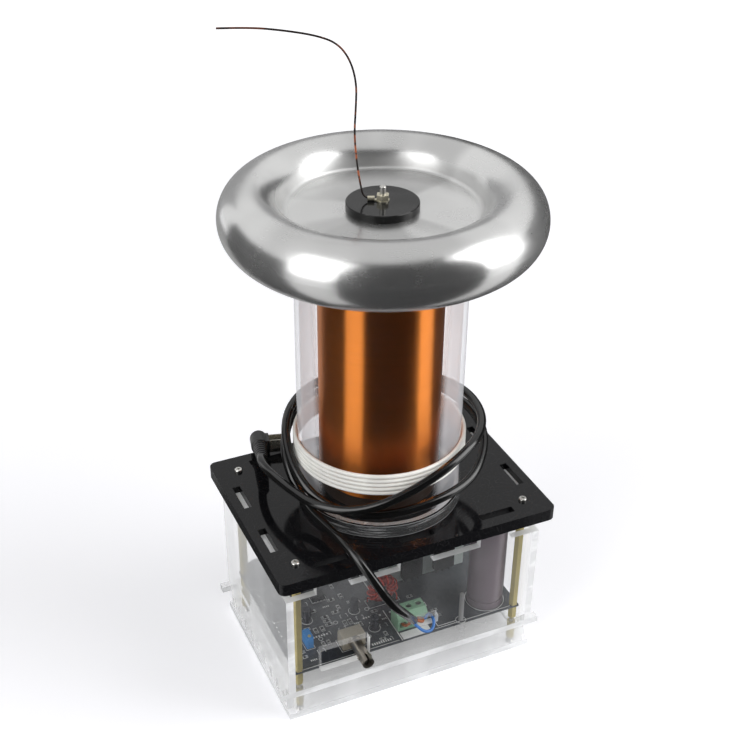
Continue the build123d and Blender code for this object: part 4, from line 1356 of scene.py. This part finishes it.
@dataclass
class CircuitBoard(Assembly):
    """The board with its parts, plain markings and solder.

    A place is x and y on the board, then a turn, a radius, or a length and a depth where it needs them. A row
    has its first place, its count and step, and the length and depth of each mark.
    """

    top: float = BOARD_TOP
    ink: float = 0.06
    line: float = 0.28
    ring: float = 0.35
    can_margin: float = 1.1
    circle_radius: float = 1.7
    bracket_reach: float = 2.6
    bracket_depth: float = 3.4
    bracket_foot: float = 1.2
    bracket_inset: float = 0.5
    bracket_line: float = 0.3
    chips: Sequence[tuple[float, float]] = ((-44, 8), (-44, 34))
    chip_outline: tuple[float, float] = (11.2, 11)
    pin_pitch: float = 2.54
    pin_row: float = 5.016
    cans: Sequence[Point] = (
        (-25, -16, 3.15), (-19, -38, 3.15), (-52, 22, 3.15), (-60, -12, 3.15),
        (-77, 40, 8), (-77, 3, 8), (67, -41, 13), (40.7, -54.6, 2.6),
    )
    chip_parts: Sequence[Point] = (
        (-53, -5, 0), (-36, 1, 0), (-47, -14, 0), (-47, -18, 0), (-47, -22, 0),
        (-38, -12, 0), (-58, -24, 90), (-53, -24, 90), (-32, -25, 90),
        (-36, -25, 90), (-28, 2, 90), (-62, 4, 90),
    )
    tiny_parts: Sequence[Point] = (
        (-30, -33, 0), (-30, -37, 0), (-26, -30, 90), (-14, -30, 90), (-12, -22, 0),
        (-58, -38, 90), (-54, -38, 90), (-63, -20, 0), (-70, -20, 90),
        (-75, -28, 0), (-75, -40, 0), (-75, -45, 0), (-18, -50, 0), (-14, -46, 90),
        (-66, -4, 90), (-24, -6, 0), (-34, -8, 90), (-56, 12, 0), (-30, 14, 90),
        (-30, 24, 90), (20, -30, 90), (24, -30, 90), (28, -38, 0), (28, -44, 0),
        (18, -18, 0),
    )
    bars: Sequence[tuple[float, float, float, float]] = (
        (-6, -40.5, 0.7, 33), (-6, 12, 0.7, 50), (6, -53.2, 22, 7), (30, -54, 14, 0.5),
        (23, -51, 0.5, 6), (-46, -55.8, 76, 0.4), (50, -55.8, 60, 0.4),
    )
    frames: Sequence[tuple[float, float, float, float]] = (
        (-68, -34, 6.6, 11.4), (-39.7, -44.8, 19, 12.4), (-2, -14, 24, 9), (-22, 44, 24, 6),
    )
    rows: Sequence[tuple[float, float, int, float, float, float]] = (
        (-27, -52.6, 9, 1.7, 0.9, 2.2), (-62, -30, 6, 2, 1.1, 1.5), (-22, -26, 6, 2, 1.1, 1.5),
    )
    pads: tuple[int, float, float, float] = (4, 1.3, 0.7, 1.5)
    pad_rows: Sequence[tuple[float, float]] = (
        (-66, -26), (-30, -28.5), (-44, -4), (-20, -32), (-72, -50), (-10, -32),
    )
    brackets: Sequence[tuple[float, float]] = (
        (-72, -12), (-62, -44), (-52, -30), (-24, -24), (-34, -18), (-68, 12),
        (-20, -8), (-12, -38), (-14, -52), (-56, 4), (-40, -30), (-70, 26),
    )
    circles: Sequence[tuple[float, float]] = (
        (-58, -33), (-26, -44), (-76, -18), (-42, -22), (-16, -18),
    )

    def bar(self, shop: Shop, x: float, y: float, long: float, deep: float) -> None:
        """Prints a filled rectangle round a place."""
        shop.block((x, y, self.top + self.ink / 2), (long, deep, self.ink))

    def row(self, shop: Shop, x: float, y: float, count: int, step: float, long: float, deep: float) -> None:
        """Prints a row of equal rectangles along the board, from a first place on."""
        for k in range(count):
            self.bar(shop, x + step * k, y, long, deep)

    def bracket(self, shop: Shop, x: float, y: float) -> None:
        """Prints a pair of angled marks.

        Args:
            shop: where they are added.
            x: the middle along the board.
            y: the middle across the board.
        """
        foot_reach = self.bracket_reach - self.bracket_inset
        foot_y = y + self.bracket_depth / 2
        for side in (-1, 1):
            self.bar(shop, x + side * self.bracket_reach, y, self.bracket_line, self.bracket_depth)
            self.bar(shop, x + side * foot_reach, foot_y, self.bracket_foot, self.bracket_line)

    def outline(self, shop: Shop, x: float, y: float, long: float, deep: float, turn: float = 0.0) -> None:
        """Prints the four lines of a rectangle.

        Args:
            shop: where they are added.
            x: the middle along the board.
            y: the middle across the board.
            long: the length.
            deep: the depth.
            turn: 0 or 90 degrees.
        """
        if turn:
            long, deep = deep, long
        for side in (-1, 1):
            self.bar(shop, x, y + side * deep / 2, long + self.line, self.line)
            self.bar(shop, x + side * long / 2, y, self.line, deep + self.line)

    def markings(self) -> bpy.types.Object:
        """Makes the board's plain printed lines, outlines, pads and bracket marks.

        Returns:
            The object.
        """
        shop = Shop()
        for x, y in self.chips:
            self.outline(shop, x, y, *self.chip_outline)
        for x, y, radius in self.cans:
            shop.band((x, y, self.top), radius + self.can_margin, self.ring, self.ink, steps=40)
        for part, places in ((CHIP_PART, self.chip_parts), (TINY_PART, self.tiny_parts)):
            for x, y, turn in places:
                self.outline(shop, x, y, *part.outline, turn)
        for bar in self.bars:
            self.bar(shop, *bar)
        for frame in self.frames:
            self.outline(shop, *frame)
        for row in self.rows:
            self.row(shop, *row)
        for x, y in self.pad_rows:
            self.row(shop, x, y, *self.pads)
        for x, y in self.brackets:
            self.bracket(shop, x, y)
        for x, y in self.circles:
            shop.band((x, y, self.top), self.circle_radius, self.ring, self.ink, steps=20)
        return shop.object("board_markings")

    def soldered_ends(self, shop: Shop, part: SmallPart, places: Sequence[Point]) -> None:
        """Adds the two shiny ends of every part of one kind.

        Args:
            shop: where they are added.
            part: the kind.
            places: the places and turns.
        """
        for x, y, turn in places:
            middle = Vector((x, y, self.top + part.end[2] / 2))
            way = polar(part.reach, math.radians(turn), 0.0)
            for side in (-1, 1):
                shop.block(middle + way * side, part.end, turn, part.rounding)

    def solder(self) -> bpy.types.Object:
        """Makes the shiny ends of the small parts, the pads and the solder cones.

        Returns:
            The object.
        """
        shop = Shop()
        self.soldered_ends(shop, CHIP_PART, self.chip_parts)
        self.soldered_ends(shop, TINY_PART, self.tiny_parts)
        for x, y in self.chips:
            for k in range(4):
                for side in (-1, 1):
                    shop.dome((x + self.pin_pitch * (k - 1.5), y + side * self.pin_row, self.top), 0.7, 0.5)
        for k in range(12):
            shop.dome((-70.0 + 5.0 * k, 52.0, self.top), 0.9, 0.7)
            shop.dome((-82.0, -30.0 + 5.0 * k, self.top), 0.9, 0.7)
        for k in range(5):
            shop.dome((-10.0 + 8.0 * k, -27.5, self.top), 0.9, 0.8)
        return shop.object("solder_joints")

    def small_bodies(self) -> bpy.types.Object:
        """Makes the dark middles of the smallest parts.

        Returns:
            The object.
        """
        long, deep, high = 1.5, 1.22, 0.56
        shop = Shop()
        for x, y, turn in self.tiny_parts:
            shop.block((x, y, self.top + high / 2), (long, deep, high), turn, 0.06)
        return shop.object("small_part_bodies")

    def gate_winding(self) -> bpy.types.Object:
        """Makes the ring's winding with its two leads.

        Returns:
            The object.
        """
        turns, steps = 9, 14
        wire, major, core, gap, lead = 1.1, 7.8, 3.0, 0.3, 3.0
        first_angle, swept = 210.0, 240.0
        loop = core + gap + wire / 2
        centre = Vector((-2.0, -14.0, self.top + gap + major + core))

        def at(t: float) -> Vector:
            """Point on the wire after t loops."""
            around = math.radians(first_angle - swept * t / turns)
            reach, aside = major + loop * math.cos(FULL_TURN * t), loop * math.sin(FULL_TURN * t)
            return centre + Vector((reach * math.cos(around), -aside, reach * math.sin(around)))

        path = [at(k / steps) for k in range(turns * steps + 1)]
        start = path[0] - (path[1] - path[0]).normalized() * lead
        stop = path[-1] + (path[-1] - path[-2]).normalized() * lead
        down = Vector((0.0, 0.0, lead))
        entry = [Vector((start.x, start.y, self.top)), start - down, start]
        leave = [stop, stop - down, Vector((stop.x, stop.y, self.top))]
        return smooth_line("gate_winding", entry + path + leave, wire, 4)

    def build(self) -> None:
        """Dresses the board and adds its small parts."""
        self.dress(BOARD, "circuit_board")
        self.dress(CHIP, "control_chips", "surface_parts", "power_devices", "bridge_rectifier")
        self.dress(SINK, "heatsink")
        self.dress(SLEEVE, "large_capacitor")
        self.dress(SMALL_SLEEVE, "bulk_capacitors", "small_capacitors")
        self.dress(GREEN, "terminal_block")
        self.dress(STEEL, "terminal_screw_1", "terminal_screw_2", "terminal_screw_3")
        self.dress(BLUE, "trimmer_body")
        self.dress(BRASS, "trimmer_screw")
        self.dress(RECEIVER, "receiver_housing")
        self.dress(NICKEL, "receiver_barrel")
        self.dress(FERRITE, "gate_transformer_core")
        self.dress(GREY, "board_post")
        self.add(self.markings(), INK, "board")
        self.add(self.solder(), SOLDER, "steel")
        self.add(self.small_bodies(), CHIP, "dark_plastic")
        self.add(self.gate_winding(), RED_WIRE, "gate_wire", replaced=["gate_transformer_winding"])
        LOG.info("board dressed")


# ---------------------------------------------------------------- coil


@dataclass
class Coil(Assembly):
    """The clear tube with its two windings."""

    tube_radius: float = 55.0
    disc_radius: float = 56.5
    winding_low: float = 149.1
    winding_high: float = 319.6
    winding_radius: float = 40.45
    turn_pitch: float = 0.5
    ridge: float = 0.012
    primary_wire: float = 2.75
    primary_pitch: float = 3.2
    primary_low: float = 165.9
    primary_turns: float = 4.875
    primary_start: float = 62.0
    primary_steps: int = 44
    primary_gap: float = 0.3
    slack: float = 0.12
    disc_gap: float = 0.6
    lead_angle: float = 28.0
    lead_reach: float = 4.6
    halfway_reach: float = 1.6
    bend: float = 6.0
    below_plate: float = 90.0

    def fine_turns(self) -> bpy.types.Object:
        """Makes the secondary's outer layer as one finely ridged helix.

        Returns:
            The object.
        """
        steps = 96
        shop = Shop()
        rings = []
        for k in range(2 * int((self.winding_high - self.winding_low) / self.turn_pitch) + 1):
            radius = self.winding_radius - (0.0 if k % 2 else self.ridge)
            ring = []
            for s in range(steps):
                height = self.winding_low + (k / 2 + s / steps) * self.turn_pitch
                height = min(max(height, self.winding_low), self.winding_high)
                ring.append(shop.mesh.verts.new(polar(radius, FULL_TURN * s / steps, height) * MM))
            rings.append(ring)
        for one, two in zip(rings, rings[1:]):
            for s in range(steps - 1):
                shop.mesh.faces.new((one[s], one[s + 1], two[s + 1], two[s]))
        for k in range(len(rings) - 3):
            shop.mesh.faces.new((rings[k][-1], rings[k + 2][0], rings[k + 3][0], rings[k + 1][-1]))
        return shop.object("secondary_turns", True)

    def primary(self) -> bpy.types.Object:
        """Makes the primary's turns and the two leads that go down through the plate.

        Returns:
            The object.
        """
        radius = self.tube_radius + self.primary_gap + self.primary_wire / 2
        first = math.radians(self.primary_start)
        last = math.radians(self.primary_start + 360.0 * self.primary_turns + self.lead_angle)
        steps = int(self.primary_steps * self.primary_turns)
        high = self.primary_low + self.primary_pitch * self.primary_turns

        def at(t: float) -> Vector:
            """Point on the wire after t turns."""
            height = self.primary_low + self.primary_pitch * t
            return polar(radius + self.slack, first + FULL_TURN * t, height)

        def ahead(angle: float) -> Vector:
            """Step of one bend round the tube at an angle."""
            return Vector((-math.sin(angle), math.cos(angle), 0.0)) * self.bend

        path = [at(self.primary_turns * k / steps) for k in range(steps + 1)]
        between = polar(radius + self.halfway_reach, last - math.radians(self.lead_angle / 2), high)
        leaving = polar(radius + self.lead_reach, last, high)
        side = polar(self.disc_radius + self.disc_gap + self.primary_wire / 2, first, self.primary_low)
        low = side - ahead(first)
        out = leaving + ahead(last)
        drop = Vector((0.0, 0.0, self.bend))
        start = [Vector((low.x, low.y, BOARD_TOP)), Vector((low.x, low.y, self.below_plate)),
                 low - drop * 2, low - drop, low - drop * 0.3, low + ahead(first) / 3]
        stop = [between, leaving, out, out - drop * 0.7, out - drop * 1.4, out - drop * 2.2,
                Vector((out.x, out.y, self.below_plate)), Vector((out.x, out.y, BOARD_TOP))]
        return smooth_line("primary_turns", start + path + stop, self.primary_wire, 5)

    def build(self) -> None:
        """Dresses the tube and adds both windings."""
        self.dress(TUBE, "outer_tube")
        self.dress(DISC, "tube_base_disc")
        self.dress(FORMER, "secondary_former")
        self.dress(CAP, "former_lower_cap", "former_upper_cap")
        self.dress(STEEL, "disc_screws")
        self.add(self.fine_turns(), COPPER, "copper_winding", replaced=["secondary_winding"])
        self.add(self.primary(), PRIMARY, "primary_wire", replaced=["primary_winding"])
        LOG.info("coil dressed")


# ---------------------------------------------------------------- electrode


@dataclass
class Electrode(Assembly):
    """The toroid with its stud, ring terminal and breakout wire."""

    way: float = 157.3
    foot: float = 346.4
    wire: float = 1.2
    wire_route: Sequence[tuple[float, float]] = (
        (6.5, 0), (11.5, 0), (13.6, 9.5), (15.8, 24), (17.2, 41), (16.2, 58), (16, 71.5), (19.5, 84.5),
        (26.5, 94), (38.5, 98.6), (57, 101.6), (75.5, 103.4), (94, 103),
    )

    def breakout(self) -> bpy.types.Object:
        """Makes the thin wire that rises from the ring terminal in one upright plane."""
        points = [polar(reach, math.radians(self.way), self.foot + rise) for reach, rise in self.wire_route]
        return smooth_line("breakout_line", points, self.wire, 4)

    def build(self) -> None:
        """Dresses the electrode."""
        self.dress(SPUN, "toroid_upper", "toroid_lower")
        self.dress(BLACK_DISC, "top_disc")
        self.dress(STEEL, "stud", "stud_lower_nut")
        self.dress(TERMINAL, "stud_top_nut", "ring_terminal")
        self.add(self.breakout(), WIRE, "breakout_wire", Body.ELECTRODE, ["breakout_wire"])
        LOG.info("electrode dressed")


# ---------------------------------------------------------------- order of work


def main(frame: dict) -> None:
    """Builds the scene in order.
    """
    logging.basicConfig(level=logging.INFO, format="%(message)s")
    palette = Palette()
    Studio(palette).build()
    for group in (MainsCord, Case, CircuitBoard, Coil, Electrode):
        group(palette, frame["nodes"]).build()


if __name__ == "__main__":
    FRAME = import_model()
    main(FRAME)
